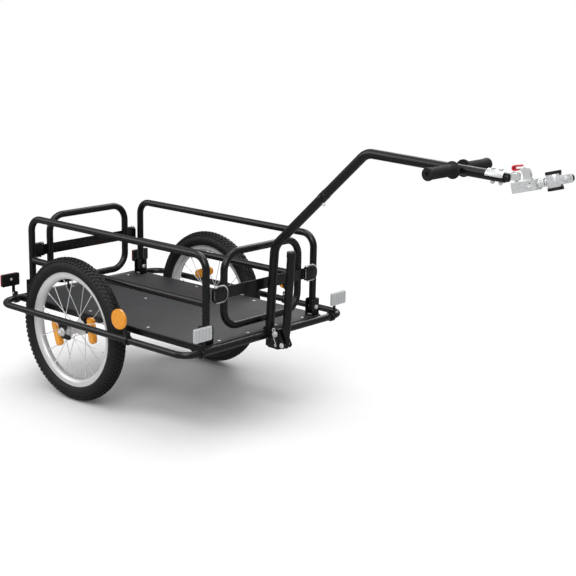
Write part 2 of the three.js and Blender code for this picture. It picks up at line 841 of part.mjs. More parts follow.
// Drawbar bracket: two cheek plates against the front tube, a front web and the stand's ears
function buildDrawbarBracket() {
  const outerHalf = bracketHalfGap + bracketPlateWall;
  const shell = block([bracketRearX, -outerHalf, bracketBottom], [bracketFrontX, outerHalf, bracketTop]);
  const pocket = block(
    [bracketRearX - cutOverrun, -bracketHalfGap, bracketBottom + bracketPlateWall],
    [bracketFrontX - bracketPlateWall, bracketHalfGap, bracketTop + cutOverrun],
  );
  const tubeSeat = rod(
    boreFor(frameTubeRadius),
    [frontTubeX, -outerHalf - cutOverrun, frameLevel],
    [frontTubeX, outerHalf + cutOverrun, frameLevel],
  );
  const pinBore = rod(
    boreFor(drawbarPinRadius, smallSides),
    [drawbarPinX, -outerHalf - cutOverrun, drawbarPinZ],
    [drawbarPinX, outerHalf + cutOverrun, drawbarPinZ],
    smallSides,
  );
  const earRound = earReach - standPivotX;
  const earOutline = new THREE.Shape();
  earOutline.moveTo(bracketFrontX - cutOverrun, earTop);
  earOutline.lineTo(bracketFrontX - cutOverrun, standPivotZ - earRound);
  earOutline.lineTo(standPivotX, standPivotZ - earRound);
  earOutline.absarc(standPivotX, standPivotZ, earRound, -rightAngle, 0);
  earOutline.lineTo(bracketFrontX + bracketPlateWall, earTop);
  earOutline.closePath();
  const earInner = standRadius + 2 * seatGap;
  const ears = Object.values(sides).map((side) => {
    const faces = [side * earInner, side * (earInner + earWall)];
    return plateAcrossY(earOutline, Math.min(...faces), Math.max(...faces), bendSteps);
  });
  const pivotBore = rod(
    boreFor(standBoltRadius, smallSides),
    [standPivotX, -outerHalf, standPivotZ],
    [standPivotX, outerHalf, standPivotZ],
    smallSides,
  );
  return cut(join([cut(shell, [pocket]), ...ears]), [tubeSeat, pinBore, pivotBore]);
}

function buildDrawbarPin() {
  const outerHalf = bracketHalfGap + bracketPlateWall;
  const headFace = -outerHalf - seatGap;
  return join([
    rod(drawbarPinRadius, [0, headFace - cutOverrun, 0], [0, outerHalf + drawbarPinTail, 0], smallSides),
    rod(drawbarPinHeadRadius, [0, headFace - drawbarPinHeadHeight, 0], [0, headFace, 0]),
  ]);
}

addPiece(trailer, 'drawbar_bracket', buildDrawbarBracket(), steelBlack);
const drawbarPin = addPiece(trailer, 'drawbar_pin', buildDrawbarPin(), zincBright);
drawbarPin.position.set(drawbarPinX, 0, drawbarPinZ);

// Prop stand, folded up in front of the drawbar
function buildPropStand() {
  const leg = rod(standRadius, [0, 0, 0], [0, 0, standLength]);
  const knuckle = rod(standRadius, [0, -standRadius, 0], [0, standRadius, 0]);
  const foot = rod(standFootRadius, [0, 0, standLength - standFootHeight], [0, 0, standLength + cutOverrun]);
  const reach = standRadius + cutOverrun;
  const bore = rod(boreFor(standBoltRadius, smallSides), [0, -reach, 0], [0, reach, 0], smallSides);
  return cut(join([leg, knuckle, foot]), [bore]);
}

function buildStandBolt() {
  const earFace = standRadius + 2 * seatGap + earWall + seatGap;
  const end = earFace + standBoltHeadHeight;
  return join([
    rod(standBoltRadius, [0, -end, 0], [0, end, 0], smallSides),
    rod(standBoltHeadRadius, [0, -end, 0], [0, -earFace, 0], smallSides),
    rod(standBoltHeadRadius, [0, earFace, 0], [0, end, 0], smallSides),
  ]);
}

const stand = addPiece(trailer, 'prop_stand', buildPropStand(), steelBlack);
stand.position.set(standPivotX, 0, standPivotZ);
stand.rotation.y = standLean;
const standBolt = addPiece(trailer, 'stand_bolt', buildStandBolt(), zincBright);
standBolt.position.set(standPivotX, 0, standPivotZ);

// Drawbar: a lower tube with its foot tongue, and an upper tube that plugs into its collar
const collarMouth = [lowerBendX + lowerSlantLength * slantX, 0, lowerBendZ + lowerSlantLength * slantZ];

function alongSlant(distance) {
  return [collarMouth[0] + distance * slantX, 0, collarMouth[2] + distance * slantZ];
}

const buttonPlace = alongSlant(-buttonSetback);

function buttonRod(radius, fromReach, toReach) {
  const place = (reach) => [buttonPlace[0] + reach * slantZ, 0, buttonPlace[2] - reach * slantX];
  return rod(radius, place(fromReach), place(toReach), smallSides);
}

const buttonInner = collarRadius - buttonDepth;
const buttonOuter = collarRadius + buttonStandOut;

function buildLowerDrawbar() {
  const tube = bentTube(drawbarRadius, [
    [drawbarFootX, 0, drawbarFootZ],
    [lowerBendX, 0, lowerBendZ],
    collarMouth,
  ], [lowerBendRadius]);
  const collar = rod(collarRadius, alongSlant(-collarLength), collarMouth);
  const tongueHalf = bracketHalfGap - seatGap;
  const tongue = block([tongueRear, -tongueHalf, tongueBottom], [tongueFront, tongueHalf, tongueTop]);
  const head = block(
    [drawbarFootX - drawbarRadius, -tongueHalf, frameLevel + frameTubeRadius + tongueEndGap],
    [tongueFront, tongueHalf, tongueTop],
  );
  const pinBore = rod(
    boreFor(drawbarPinRadius, smallSides),
    [drawbarPinX, -bracketHalfGap, drawbarPinZ],
    [drawbarPinX, bracketHalfGap, drawbarPinZ],
    smallSides,
  );
  const plug = rod(boreFor(insertRadius), alongSlant(-drawbarInsert - seatGap), alongSlant(cutOverrun));
  const buttonBore = buttonRod(boreFor(buttonRadius, smallSides), 0, collarRadius + cutOverrun);
  return cut(join([tube, collar, tongue, head]), [pinBore, plug, buttonBore]);
}

const upperEnd = [upperEndX, 0, upperEndZ];

function buildUpperDrawbar() {
  const insert = rod(insertRadius, alongSlant(-drawbarInsert), alongSlant(seatGap + cutOverrun));
  const tube = bentTube(drawbarRadius, [
    alongSlant(seatGap),
    [upperBendX, 0, upperBendZ],
    upperEnd,
  ], [upperBendRadius]);
  const bar = rod(handleBarRadius, [handleX, -handleHalfLength, handleZ], [handleX, handleHalfLength, handleZ]);
  const boltBores = saddleBoltPlaces.map((x) => rod(
    boreFor(saddleBoltRadius, smallSides),
    [x, 0, upperEnd[2] - 2 * drawbarRadius],
    [x, 0, upperEnd[2] + 2 * drawbarRadius],
    smallSides,
  ));
  const buttonBore = buttonRod(
    boreFor(buttonRadius, smallSides),
    buttonInner - buttonStandOut,
    drawbarRadius + cutOverrun,
  );
  return cut(join([tube, insert, bar]), [...boltBores, buttonBore]);
}

addPiece(trailer, 'lower_drawbar', buildLowerDrawbar(), steelBlack);
addPiece(trailer, 'upper_drawbar', buildUpperDrawbar(), steelBlack);
addPiece(trailer, 'length_button', buttonRod(buttonRadius, buttonInner, buttonOuter), zincBright);

function buildEndCap() {
  const direction = [Math.cos(upperSlope), Math.sin(upperSlope)];
  const point = (distance) => [
    upperEnd[0] + distance * direction[0],
    0,
    upperEnd[2] + distance * direction[1],
  ];
  return rod(endCapRadius, point(seatGap), point(seatGap + endCapLength));
}

addPiece(trailer, 'drawbar_end_cap', buildEndCap(), blackPlastic);

// Grips, turned about the handle bar
function buildGrip() {
  const bore = boreFor(handleBarRadius);
  const endWall = handleHalfLength + seatGap;
  const flangeEnd = gripInnerEnd + gripFlangeWall;
  const shoulder = (gripRadius + gripFlangeRadius) / 2;
  return turned([
    [bore, gripInnerEnd],
    [gripFlangeRadius, gripInnerEnd],
    [gripFlangeRadius, flangeEnd],
    [shoulder, flangeEnd + gripFlangeWall / 2],
    [gripRadius, flangeEnd + gripFlangeWall * 2],
    [gripRadius, gripOuterEnd - gripFlangeWall],
    [shoulder - gripFlangeWall / 2, gripOuterEnd - gripFlangeWall / 2],
    [gripRadius, gripOuterEnd],
    [gripEndHoleRadius, gripOuterEnd],
    [gripEndHoleRadius, endWall],
    [bore, endWall],
  ], fineSides);
}

for (const [name, side] of Object.entries(sides)) {
  const grip = addPiece(trailer, `grip_${name}`, buildGrip(), gripRubber);
  grip.position.set(handleX, 0, handleZ);
  grip.rotation.z = side > 0 ? 0 : 2 * rightAngle;
}

// Coupling eye: a saddle on the drawbar's end with a ring in front, and its two bolts
function buildCouplingEye() {
  const axisZ = upperEnd[2];
  const saddleEndX = upperEndX - seatGap;
  const outer = drawbarRadius + seatGap + saddleWall;
  const rise = (saddleStartX - upperEndX) * Math.tan(upperSlope);
  const start = [saddleStartX, 0, axisZ + rise];
  const end = [saddleEndX, 0, axisZ];
  const shell = rod(outer, start, end);
  const bore = rod(
    boreFor(drawbarRadius),
    [start[0] - cutOverrun, 0, start[2]],
    [end[0] + cutOverrun, 0, end[2]],
  );
  const underside = block(
    [saddleStartX - cutOverrun, -outer - cutOverrun, axisZ - 2 * outer],
    [eyeX, outer + cutOverrun, axisZ],
  );
  const eyeTop = eyeZ + eyeHalfHeight;
  const neck = block(
    [saddleEndX - saddleNeckOverlap, -neckHalfWidth, eyeTop + neckLift - neckThickness],
    [eyeX - eyeBoreRadius, neckHalfWidth, eyeTop + neckLift],
  );
  const ring = rod(eyeOuterRadius, [eyeX, 0, eyeZ - eyeHalfHeight], [eyeX, 0, eyeTop], fineSides);
  const ringBore = rod(
    eyeBoreRadius,
    [eyeX, 0, eyeZ - eyeHalfHeight - cutOverrun],
    [eyeX, 0, eyeTop + cutOverrun],
    fineSides,
  );
  const boltBores = saddleBoltPlaces.map((x) => rod(
    boreFor(saddleBoltRadius, smallSides),
    [x, 0, axisZ],
    [x, 0, axisZ + 2 * outer],
    smallSides,
  ));
  return cut(join([cut(shell, [underside]), neck, ring]), [bore, ringBore, ...boltBores]);
}

function buildSaddleBolt() {
  const headLow = drawbarRadius + saddleWall + 3 * seatGap;
  const nutHigh = -drawbarRadius - 2 * seatGap;
  return join([
    rod(saddleBoltRadius, [0, 0, -saddleBoltReach], [0, 0, headLow + cutOverrun], smallSides),
    rod(saddleBoltHeadRadius, [0, 0, headLow], [0, 0, headLow + saddleBoltHeadHeight], smallSides),
    rod(saddleBoltHeadRadius, [0, 0, nutHigh - saddleBoltHeadHeight], [0, 0, nutHigh], wireSides),
  ]);
}

addPiece(trailer, 'coupling_eye', buildCouplingEye(), zincBright);
saddleBoltPlaces.forEach((x, i) => {
  const bolt = addPiece(trailer, `saddle_bolt_${i + 1}`, buildSaddleBolt(), zincBright);
  bolt.position.set(x, 0, upperEnd[2] + (x - upperEndX) * Math.tan(upperSlope));
});

// Seatpost hitch: everything here is drawn along the hitch's own axis, X forward and Z up
const hitch = new THREE.Group();
hitch.position.set(eyeX, 0, eyeZ);
hitch.rotation.y = hitchPitch;
trailer.add(hitch);

const hookTipU = hookSetForward + hookInnerRadius * Math.cos(hookEnd);
const hookTipW = hookInnerRadius * Math.sin(hookEnd);

function buildCouplingPost() {
  const ball = new THREE.SphereGeometry(ballRadius, tubeSides, smallSides);
  ball.rotateX(rightAngle);
  const underPlate = channelTop - channelWall - seatGap;
  return join([
    solidOf(ball),
    rod(postNeckRadius, [0, 0, underPlate - cutOverrun], [0, 0, 0], smallSides),
    rod(postFlangeRadius, [0, 0, underPlate - postFlangeWall], [0, 0, underPlate]),
  ]);
}

function buildHitchChannel() {
  const bottom = channelTop - channelDepth;
  const shell = block(
    [channelRear, -channelHalfWidth, bottom],
    [channelFront, channelHalfWidth, channelTop],
  );
  const innerHalf = channelHalfWidth - channelWall;
  const hollow = block(
    [channelRear - cutOverrun, -innerHalf, bottom - cutOverrun],
    [channelFront - channelWall, innerHalf, channelTop - channelWall],
  );
  const postBore = rod(
    boreFor(postNeckRadius, smallSides),
    [0, 0, bottom],
    [0, 0, channelTop + cutOverrun],
    smallSides,
  );
  const slotHalf = hookHalfWidth + seatGap;
  const hookSlot = block(
    [hookPivotU - hookStemHalf - cutOverrun, -slotHalf, channelTop - channelWall - cutOverrun],
    [channelFront - 2 * channelWall, slotHalf, channelTop + cutOverrun],
  );
  const pivotPin = rod(
    hookPinRadius,
    [hookPivotU, -channelHalfWidth - hookPinHeadHeight, hookPivotW],
    [hookPivotU, channelHalfWidth + hookPinHeadHeight, hookPivotW],
    smallSides,
  );
  const pinHeads = Object.values(sides).map((side) => rod(
    hookPinHeadRadius,
    [hookPivotU, side * (channelHalfWidth - seatGap), hookPivotW],
    [hookPivotU, side * (channelHalfWidth + hookPinHeadHeight), hookPivotW],
    smallSides,
  ));
  const boltBore = rod(
    boreFor(swivelBoltRadius, smallSides),
    [channelFront - 2 * channelWall, 0, swivelLevel],
    [channelFront + cutOverrun, 0, swivelLevel],
    smallSides,
  );
  return join([cut(shell, [hollow, postBore, hookSlot, boltBore]), pivotPin, ...pinHeads]);
}

// The lever's tip carries a tang for its grip; a clearance grows it into the grip's socket.
function leverTang(clearance) {
  const low = hookTipW + leverTangLift - clearance;
  const high = low + leverTangHeight + 2 * clearance;
  const halfWidth = leverTangHeight / 2 + clearance;
  return block(
    [hookTipU - leverTangLength - clearance, -halfWidth, low],
    [hookTipU + leverTangRoot, halfWidth, high],
  );
}

// The latch lever's hook is a crescent between two circles, on a stem that turns on the pivot pin.
function buildLatchLever() {
  const crescent = new THREE.Shape();
  const outerCentreU = hookSetForward + hookCentreShift;
  crescent.moveTo(
    outerCentreU + hookOuterRadius * Math.cos(hookStart),
    hookOuterRadius * Math.sin(hookStart),
  );
  crescent.absarc(outerCentreU, 0, hookOuterRadius, hookStart, hookEnd);
  crescent.absarc(hookSetForward, 0, hookInnerRadius, hookEnd, hookStart, true);
  crescent.closePath();
  const stem = new THREE.Shape();
  const stemTop = channelTop + channelWall;
  stem.moveTo(hookPivotU - hookStemHalf, stemTop);
  stem.lineTo(hookPivotU - hookStemHalf, hookPivotW);
  stem.absarc(hookPivotU, hookPivotW, hookStemHalf, 2 * rightAngle, 4 * rightAngle);
  stem.lineTo(hookPivotU + hookStemHalf, stemTop);
  stem.closePath();
  const pivotBore = rod(
    boreFor(hookPinRadius, smallSides),
    [hookPivotU, -channelHalfWidth, hookPivotW],
    [hookPivotU, channelHalfWidth, hookPivotW],
    smallSides,
  );
  return cut(join([
    plateAcrossY(crescent, -hookHalfWidth, hookHalfWidth),
    plateAcrossY(stem, -hookHalfWidth, hookHalfWidth, bendSteps),
    leverTang(0),
  ]), [pivotBore]);
}

// The red grip is pushed on the tang behind the hook's tip.
function buildLeverGrip() {
  const outline = new THREE.Shape();
  const low = hookTipW - leverGripDrop;
  const high = low + leverGripHeight;
  const front = hookTipU - seatGap;
  const rear = front - leverGripLength;
  outline.moveTo(front, low);
  outline.lineTo(front, high);
  outline.lineTo(rear + leverGripHeight / 2, high);
  outline.absarc(rear + leverGripHeight / 2, (low + high) / 2, leverGripHeight / 2, rightAngle, 3 * rightAngle);
  outline.closePath();
  const body = plateAcrossY(outline, -leverGripHalfWidth, leverGripHalfWidth, bendSteps);
  return cut(body, [leverTang(seatGap)]);
}

const bossEnd = clampCentreU - clampInnerRadius;
const bossStart = clampCentreU - clampOuterRadius - clampBossLength;

function buildSwivelBolt() {
  const headFace = channelFront - channelWall - seatGap;
  return join([
    rod(swivelBoltRadius, [headFace - cutOverrun, 0, 0], [bossEnd - 2 * seatGap, 0, 0], smallSides),
    rod(swivelHeadRadius, [headFace - swivelHeadHeight, 0, 0], [headFace, 0, 0], wireSides),
  ]);
}

// Spring on the swivel bolt: straight leads run square into the plates, and curls lie between them.
function springStations() {
  const lead = 2 * springWireRadius;
  const from = channelFront + seatGap;
  const to = bossStart - seatGap;
  const coilFrom = from + lead;
  const coilTo = to - lead;
  const steps = springCurls * springStepsPerCurl;
  const points = [new THREE.Vector3(from, springRadius, 0)];
  for (let step = 0; step <= steps; step += 1) {
    const angle = 2 * Math.PI * step / springStepsPerCurl;
    const along = coilFrom + (coilTo - coilFrom) * step / steps;
    points.push(new THREE.Vector3(along, springRadius * Math.cos(angle), springRadius * Math.sin(angle)));
  }
  points.push(new THREE.Vector3(to, springRadius, 0));
  return points.map((point, i) => {
    const before = points[Math.max(i - 1, 0)];
    const after = points[Math.min(i + 1, points.length - 1)];
    const atEnd = i === 0 || i === points.length - 1;
    const tangent = atEnd ? new THREE.Vector3(1, 0, 0) : after.clone().sub(before).normalize();
    return { point, tangent };
  });
}

function leastGap(stations, radius) {
  let least = Infinity;
  for (let i = 0; i < stations.length; i += 1) {
    for (let j = i + springStepsPerCurl - springLeadSteps; j < stations.length; j += 1) {
      least = Math.min(least, stations[i].point.distanceTo(stations[j].point) - 2 * radius);
    }
  }
  return least;
}

// Seatpost clamp: a split band with a boss for the swivel bolt and two ears
function buildSeatpostClamp() {
  const halfHeight = clampHeight / 2;
  const earEnd = clampCentreU + clampOuterRadius + clampEarLength;
  const earOuter = clampEarHalfGap + clampEarWall;
  const band = rod(clampOuterRadius, [clampCentreU, 0, -halfHeight], [clampCentreU, 0, halfHeight], fineSides);
  const boss = rod(clampBossRadius, [bossStart, 0, 0], [clampCentreU - clampInnerRadius, 0, 0]);
  const earBlock = block(
    [clampCentreU, -earOuter, -clampEarHeight / 2],
    [earEnd, earOuter, clampEarHeight / 2],
  );
  const slit = block(
    [clampCentreU, -clampEarHalfGap, -clampHeight],
    [earEnd + cutOverrun, clampEarHalfGap, clampHeight],
  );
  const postBore = rod(
    clampInnerRadius,
    [clampCentreU, 0, -halfHeight - cutOverrun],
    [clampCentreU, 0, halfHeight + cutOverrun],
    fineSides,
  );
  const boltBore = rod(
    boreFor(swivelBoltRadius, smallSides),
    [bossStart - cutOverrun, 0, 0],
    [clampCentreU, 0, 0],
    smallSides,
  );
  const earX = earEnd - clampBoltSetback;
  const earBore = rod(
    boreFor(clampBoltRadius, smallSides),
    [earX, -earOuter - cutOverrun, 0],
    [earX, earOuter + cutOverrun, 0],
    smallSides,
  );
  return cut(join([band, boss, earBlock]), [slit, postBore, boltBore, earBore]);
}

function buildClampBush() {
  const flangeLow = clampHeight / 2 + seatGap;
  const flangeHigh = flangeLow + bushFlangeWall;
  const sleeve = clampInnerRadius * Math.cos(Math.PI / fineSides) - seatGap;
  const bush = turned([
    [bushBoreRadius, -flangeHigh],
    [bushFlangeRadius, -flangeHigh],
    [bushFlangeRadius, -flangeLow],
    [sleeve, -flangeLow],
    [sleeve, flangeLow],
    [bushFlangeRadius, flangeLow],
    [bushFlangeRadius, flangeHigh],
    [bushBoreRadius, flangeHigh],
  ], fineSides);
  return bush.rotate([90, 0, 0]);
}

function buildClampBolt() {
  const earFace = clampEarHalfGap + clampEarWall + seatGap;
  return join([
    rod(clampBoltRadius, [0, -earFace - cutOverrun, 0], [0, earFace + cutOverrun, 0], smallSides),
    rod(clampNutRadius, [0, -earFace - clampNutHeight, 0], [0, -earFace, 0], wireSides),
    rod(clampKnobRadius, [0, earFace, 0], [0, earFace + clampKnobHeight, 0]),
  ]);
}

addPiece(hitch, 'coupling_post', buildCouplingPost(), zincBright);
addPiece(hitch, 'hitch_channel', buildHitchChannel(), zincBright);
addPiece(hitch, 'latch_lever', buildLatchLever(), zincBright);
addPiece(hitch, 'lever_grip', buildLeverGrip(), leverRed);

const swivelLine = new THREE.Group();
swivelLine.position.z = swivelLevel;
hitch.add(swivelLine);
addPiece(swivelLine, 'swivel_bolt', buildSwivelBolt(), zincBright);
const springPath = springStations();
console.log('hitch_spring least gap to itself, mm:', leastGap(springPath, springWireRadius).toFixed(2));
addPiece(swivelLine, 'hitch_spring', sweep(springWireRadius, springPath, springSides), wireSteel);
addPiece(swivelLine, 'seatpost_clamp', buildSeatpostClamp(), zincBright);
const clampBush = addPiece(swivelLine, 'clamp_bush', buildClampBush(), gripRubber);
clampBush.position.x = clampCentreU;
const clampBolt = addPiece(swivelLine, 'clamp_bolt', buildClampBolt(), zincBright);
clampBolt.position.x = clampCentreU + clampOuterRadius + clampEarLength - clampBoltSetback;

// Wheels: each is drawn about its own hub, with the axle along Y
function buildTyre() {
  const half = tyreWidth / 2;
  const crownCentre = tyreRadius - half;
  const arc = (radius, from, to, steps) => {
    const points = [];
    for (let i = 0; i <= steps; i += 1) {
      const angle = from + (to - from) * i / steps;
      points.push([crownCentre + radius * Math.cos(angle), radius * Math.sin(angle)]);
    }
    return points;
  };
  const spread = THREE.MathUtils.degToRad(125);
  const beadY = rimWidth / 2 - rimLipWall - seatGap - rimLipWall;
  const beadRadius = rimRadius - rimLipHeight + 2 * seatGap;
  return turned([
    ...arc(half, -spread, spread, tubeSides - bendSteps),
    [rimRadius + seatGap, beadY + rimLipWall / 2],
    [beadRadius, beadY],
    [beadRadius, beadY - tyreWall],
    ...arc(half - tyreWall, spread, -spread, bendSteps),
    [beadRadius, -beadY + tyreWall],
    [beadRadius, -beadY],
    [rimRadius + seatGap, -beadY - rimLipWall / 2],
  ], wheelSegments);
}

function buildRim() {
  const half = rimWidth / 2;
  const bed = rimRadius - rimLipHeight;
  const inner = rimRadius - rimDepth;
  return turned([
    [rimRadius, half - rimLipWall],
    [rimRadius, half],
    [inner + rimLipHeight, half],
    [inner, half / 2],
    [inner, -half / 2],
    [inner + rimLipHeight, -half],
    [rimRadius, -half],
    [rimRadius, -half + rimLipWall],
    [bed, -half + 2 * rimLipWall],
    [bed - rimBedDrop, 0],
    [bed, half - 2 * rimLipWall],
  ], wheelSegments);
}

// Hub shell with its spokes: they leave the flanges in crossed pairs and stop just short of the rim.
function buildHub() {
  const bore = boreFor(axleRadius, fineSides);
  const end = hubLength / 2 - seatGap;
  const flangeIn = hubFlangeHalf - hubFlangeWall;
  const shell = turned([
    [bore, -end],
    [hubEndRadius, -end],
    [hubEndRadius, -hubFlangeHalf],
    [hubFlangeRadius, -hubFlangeHalf],
    [hubFlangeRadius, -flangeIn],
    [hubBarrelRadius, -flangeIn + hubFlangeWall],
    [hubBarrelRadius, flangeIn - hubFlangeWall],
    [hubFlangeRadius, flangeIn],
    [hubFlangeRadius, hubFlangeHalf],
    [hubEndRadius, hubFlangeHalf],
    [hubEndRadius, end],
    [bore, end],
  ], fineSides);
  const flangeMiddle = hubFlangeHalf - hubFlangeWall / 2;
  const rootRadius = hubFlangeRadius - hubFlangeWall;
  const tipRadius = (rimRadius - rimDepth) * Math.cos(Math.PI / wheelSegments) - seatGap;
  const spokes = [];
  for (let i = 0; i < spokeCount; i += 1) {
    const side = i % 2 === 0 ? 1 : -1;
    const lean = i % 4 < 2 ? 1 : -1;
    const tipAngle = 2 * Math.PI * i / spokeCount;
    const rootAngle = tipAngle + lean * spokeCrossing;
    spokes.push(rod(
      spokeRadius,
      [rootRadius * Math.cos(rootAngle), side * flangeMiddle, rootRadius * Math.sin(rootAngle)],
      [tipRadius * Math.cos(tipAngle), side * rimLipWall, tipRadius * Math.sin(tipAngle)],
      4,
    ));
  }
  return join([shell, ...spokes]);
}

// Axle with its washers and nuts: it stays in the two dropouts
function buildAxle() {
  const plate = hubLength / 2 + dropoutWall + seatGap;
  const nut = plate + axleWasherWall + axleNutLength;
  const parts = [rod(axleRadius, [0, -nut - axleTail, 0], [0, nut + axleTail, 0])];
  for (const side of Object.values(sides)) {
    const washerEnd = side * (plate + axleWasherWall);
    parts.push(rod(axleWasherRadius, [0, side * plate, 0], [0, washerEnd, 0], fineSides));
    parts.push(rod(axleNutRadius, [0, washerEnd - side * seatGap, 0], [0, side * nut, 0], wireSides));
  }
  return join(parts);
}

function buildSpokeReflector() {
  const outline = roundedRectangle(spokeReflectorHeight / 2, spokeReflectorLength / 2, spokeReflectorHeight / 3);
  return plateAcrossY(outline, -spokeReflectorWidth / 2, spokeReflectorWidth / 2, 3);
}

for (const [name, side] of Object.entries(sides)) {
  const wheel = new THREE.Group();
  wheel.position.y = side * wheelHalfTrack;
  trailer.add(wheel);
  addPiece(wheel, `tyre_${name}`, buildTyre(), tyreRubber);
  addPiece(wheel, `rim_${name}`, buildRim(), alloySilver);
  addPiece(wheel, `hub_${name}`, buildHub(), alloySilver);
  addPiece(wheel, `axle_${name}`, buildAxle(), zincBright);
  for (const [i, place] of ['a', 'b'].entries()) {
    const turn = spokeReflectorTurns[name][i];
    const reflector = addPiece(wheel, `spoke_reflector_${name}_${place}`, buildSpokeReflector(), amberPlastic);
    reflector.position.set(spokeReflectorOrbit * Math.cos(turn), 0, spokeReflectorOrbit * Math.sin(turn));
    reflector.rotation.y = -turn;
  }
}

// Reflectors on clamp rings round the tubes. Each is drawn about the tube's centre line.
function clampRing(axis, tubeRadius, place) {
  const half = clampRingWidth / 2;
  const at = (offset) => (axis === 'x' ? [place + offset, 0, 0] : [0, place + offset, 0]);
  const outer = tubeRadius + seatGap + clampRingWall;
  return cut(rod(outer, at(-half), at(half)), [
    rod(boreFor(tubeRadius), at(-half - cutOverrun), at(half + cutOverrun)),
  ]);
}

function buildSideClamp(side) {
  const backing = side * sideReflectorStandOut;
  const x = sideClampX - sideReflectorX;
  const rise = sideReflectorZ - frameLevel;
  const foot = guardRadius + seatGap + clampRingWall / 2;
  const thick = side * stemThickness;
  const stem = new THREE.Shape();
  stem.moveTo(x - stemWidth / 2, foot - clampRingWall);
  stem.lineTo(x + stemWidth / 2, foot - clampRingWall);
  stem.lineTo(x / 2 + stemWidth / 2, rise);
  stem.lineTo(-stemWidth / 2, rise);
  stem.closePath();
  const faces = [backing - thick, backing - side * seatGap];
  return join([
    clampRing('x', guardRadius, x),
    plateAcrossY(stem, Math.min(...faces), Math.max(...faces)),
  ]);
}

function buildSideLens(side) {
  const rise = sideReflectorZ - frameLevel;
  return rod(
    sideReflectorRadius,
    [0, side * sideReflectorStandOut, rise],
    [0, side * (sideReflectorStandOut + sideReflectorThickness), rise],
    fineSides + smallSides,
  );
}

function uprightStem(x, y, top, tubeRadius) {
  const from = [Math.min(x, 0) - stemThickness / 2, y - stemWidth / 2, tubeRadius + seatGap];
  const to = [Math.max(x, 0) + stemThickness / 2, y + stemWidth / 2, top];
  return block(from, to);
}

function buildFrontReflector(side) {
  const face = frontReflectorX - frontTubeX;
  const rise = endReflectorZ - frameLevel;
  const back = face - endReflectorThickness / 2;
  return join([
    clampRing('y', frameTubeRadius, side * frontClampY),
    uprightStem(back, side * frontClampY, rise - endReflectorHeight / 4, frameTubeRadius),
    facingPlate(back, back + endReflectorThickness, side * frontReflectorY, rise, endReflectorSize, endReflectorCorner),
  ]);
}

function buildRearHousing(side) {
  const face = rearReflectorX - rearTubeX;
  const rise = endReflectorZ - frameLevel;
  const front = face + endReflectorThickness / 2;
  return join([
    clampRing('y', guardRadius, side * rearClampY),
    uprightStem(front, side * rearClampY, rise - endReflectorHeight / 4, guardRadius),
    facingPlate(front - endReflectorThickness, front, side * rearReflectorY, rise, endReflectorSize, endReflectorCorner),
  ]);
}

function buildRearLens(side) {
  const back = rearReflectorX - rearTubeX - endReflectorThickness / 2 - seatGap;
  return facingPlate(
    back - rearLensThickness,
    back,
    side * rearReflectorY,
    endReflectorZ - frameLevel,
    endReflectorSize,
    endReflectorCorner,
  );
}

for (const [name, side] of Object.entries(sides)) {
  const sideMount = new THREE.Group();
  sideMount.position.set(sideReflectorX, side * guardHalfSpacing, frameLevel);
  trailer.add(sideMount);
  addPiece(sideMount, `side_reflector_${name}`, buildSideLens(side), amberPlastic);
  addPiece(sideMount, `side_clamp_${name}`, buildSideClamp(side), blackPlastic);

  const frontMount = new THREE.Group();
  frontMount.position.set(frontTubeX, 0, frameLevel);
  trailer.add(frontMount);
  addPiece(frontMount, `front_reflector_${name}`, buildFrontReflector(side), clearPlastic);

  const rearMount = new THREE.Group();
  rearMount.position.set(rearTubeX, 0, frameLevel);
  trailer.add(rearMount);
  addPiece(rearMount, `rear_reflector_body_${name}`, buildRearHousing(side), blackPlastic);
  addPiece(rearMount, `rear_reflector_lens_${name}`, buildRearLens(side), redPlastic);
}

// The origin is the ground under the middle of the whole trailer's outline.
const outline = new THREE.Box3().setFromObject(trailer, true);
trailer.position.set(-(outline.min.x + outline.max.x) / 2, -(outline.min.y + outline.max.y) / 2, -outline.min.z);

export default trailer;
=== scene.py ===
import math

import bmesh
import bpy
from mathutils import Matrix, Vector


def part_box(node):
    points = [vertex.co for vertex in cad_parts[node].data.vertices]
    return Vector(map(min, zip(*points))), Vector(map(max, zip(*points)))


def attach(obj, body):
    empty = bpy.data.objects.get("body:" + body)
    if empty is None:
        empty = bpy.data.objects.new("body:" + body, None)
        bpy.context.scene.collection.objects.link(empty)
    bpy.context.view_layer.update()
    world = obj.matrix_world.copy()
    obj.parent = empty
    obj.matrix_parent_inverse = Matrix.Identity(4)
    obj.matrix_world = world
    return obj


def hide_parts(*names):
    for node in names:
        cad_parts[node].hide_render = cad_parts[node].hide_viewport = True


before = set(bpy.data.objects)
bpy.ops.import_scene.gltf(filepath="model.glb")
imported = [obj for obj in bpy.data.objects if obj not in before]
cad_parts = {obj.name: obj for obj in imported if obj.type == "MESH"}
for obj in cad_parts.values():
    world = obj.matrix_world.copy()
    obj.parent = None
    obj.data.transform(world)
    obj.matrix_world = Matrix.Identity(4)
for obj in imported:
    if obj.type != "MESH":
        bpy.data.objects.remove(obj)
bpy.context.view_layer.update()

print("frame loaded")

# Places are in millimetres from the point on the ground under the wheel axle: x forward, y left, z up
low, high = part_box("axle_right")
axleX = (low[0] + high[0]) / 2
sides = {"right": -1, "left": 1}


def at(x, y, z):
    return Vector((axleX + x / 1000, y / 1000, z / 1000))


# Finishes

def linear(hexText):
    channels = [int(hexText[i:i + 2], 16) / 255 for i in (1, 3, 5)]
    return [c / 12.92 if c <= 0.04045 else ((c + 0.055) / 1.055) ** 2.4 for c in channels] + [1.0]


def addNode(tree, kind, links=None, **settings):
    node = tree.nodes.new(kind)
    for key, value in settings.items():
        setattr(node, key, value)
    for key, value in (links or {}).items():
        if isinstance(value, bpy.types.NodeSocket):
            tree.links.new(value, node.inputs[key])
        else:
            node.inputs[key].default_value = value
    return node


def perMm(size):
    return 1000 / size  # texture scale whose features are about this many millimetres apart


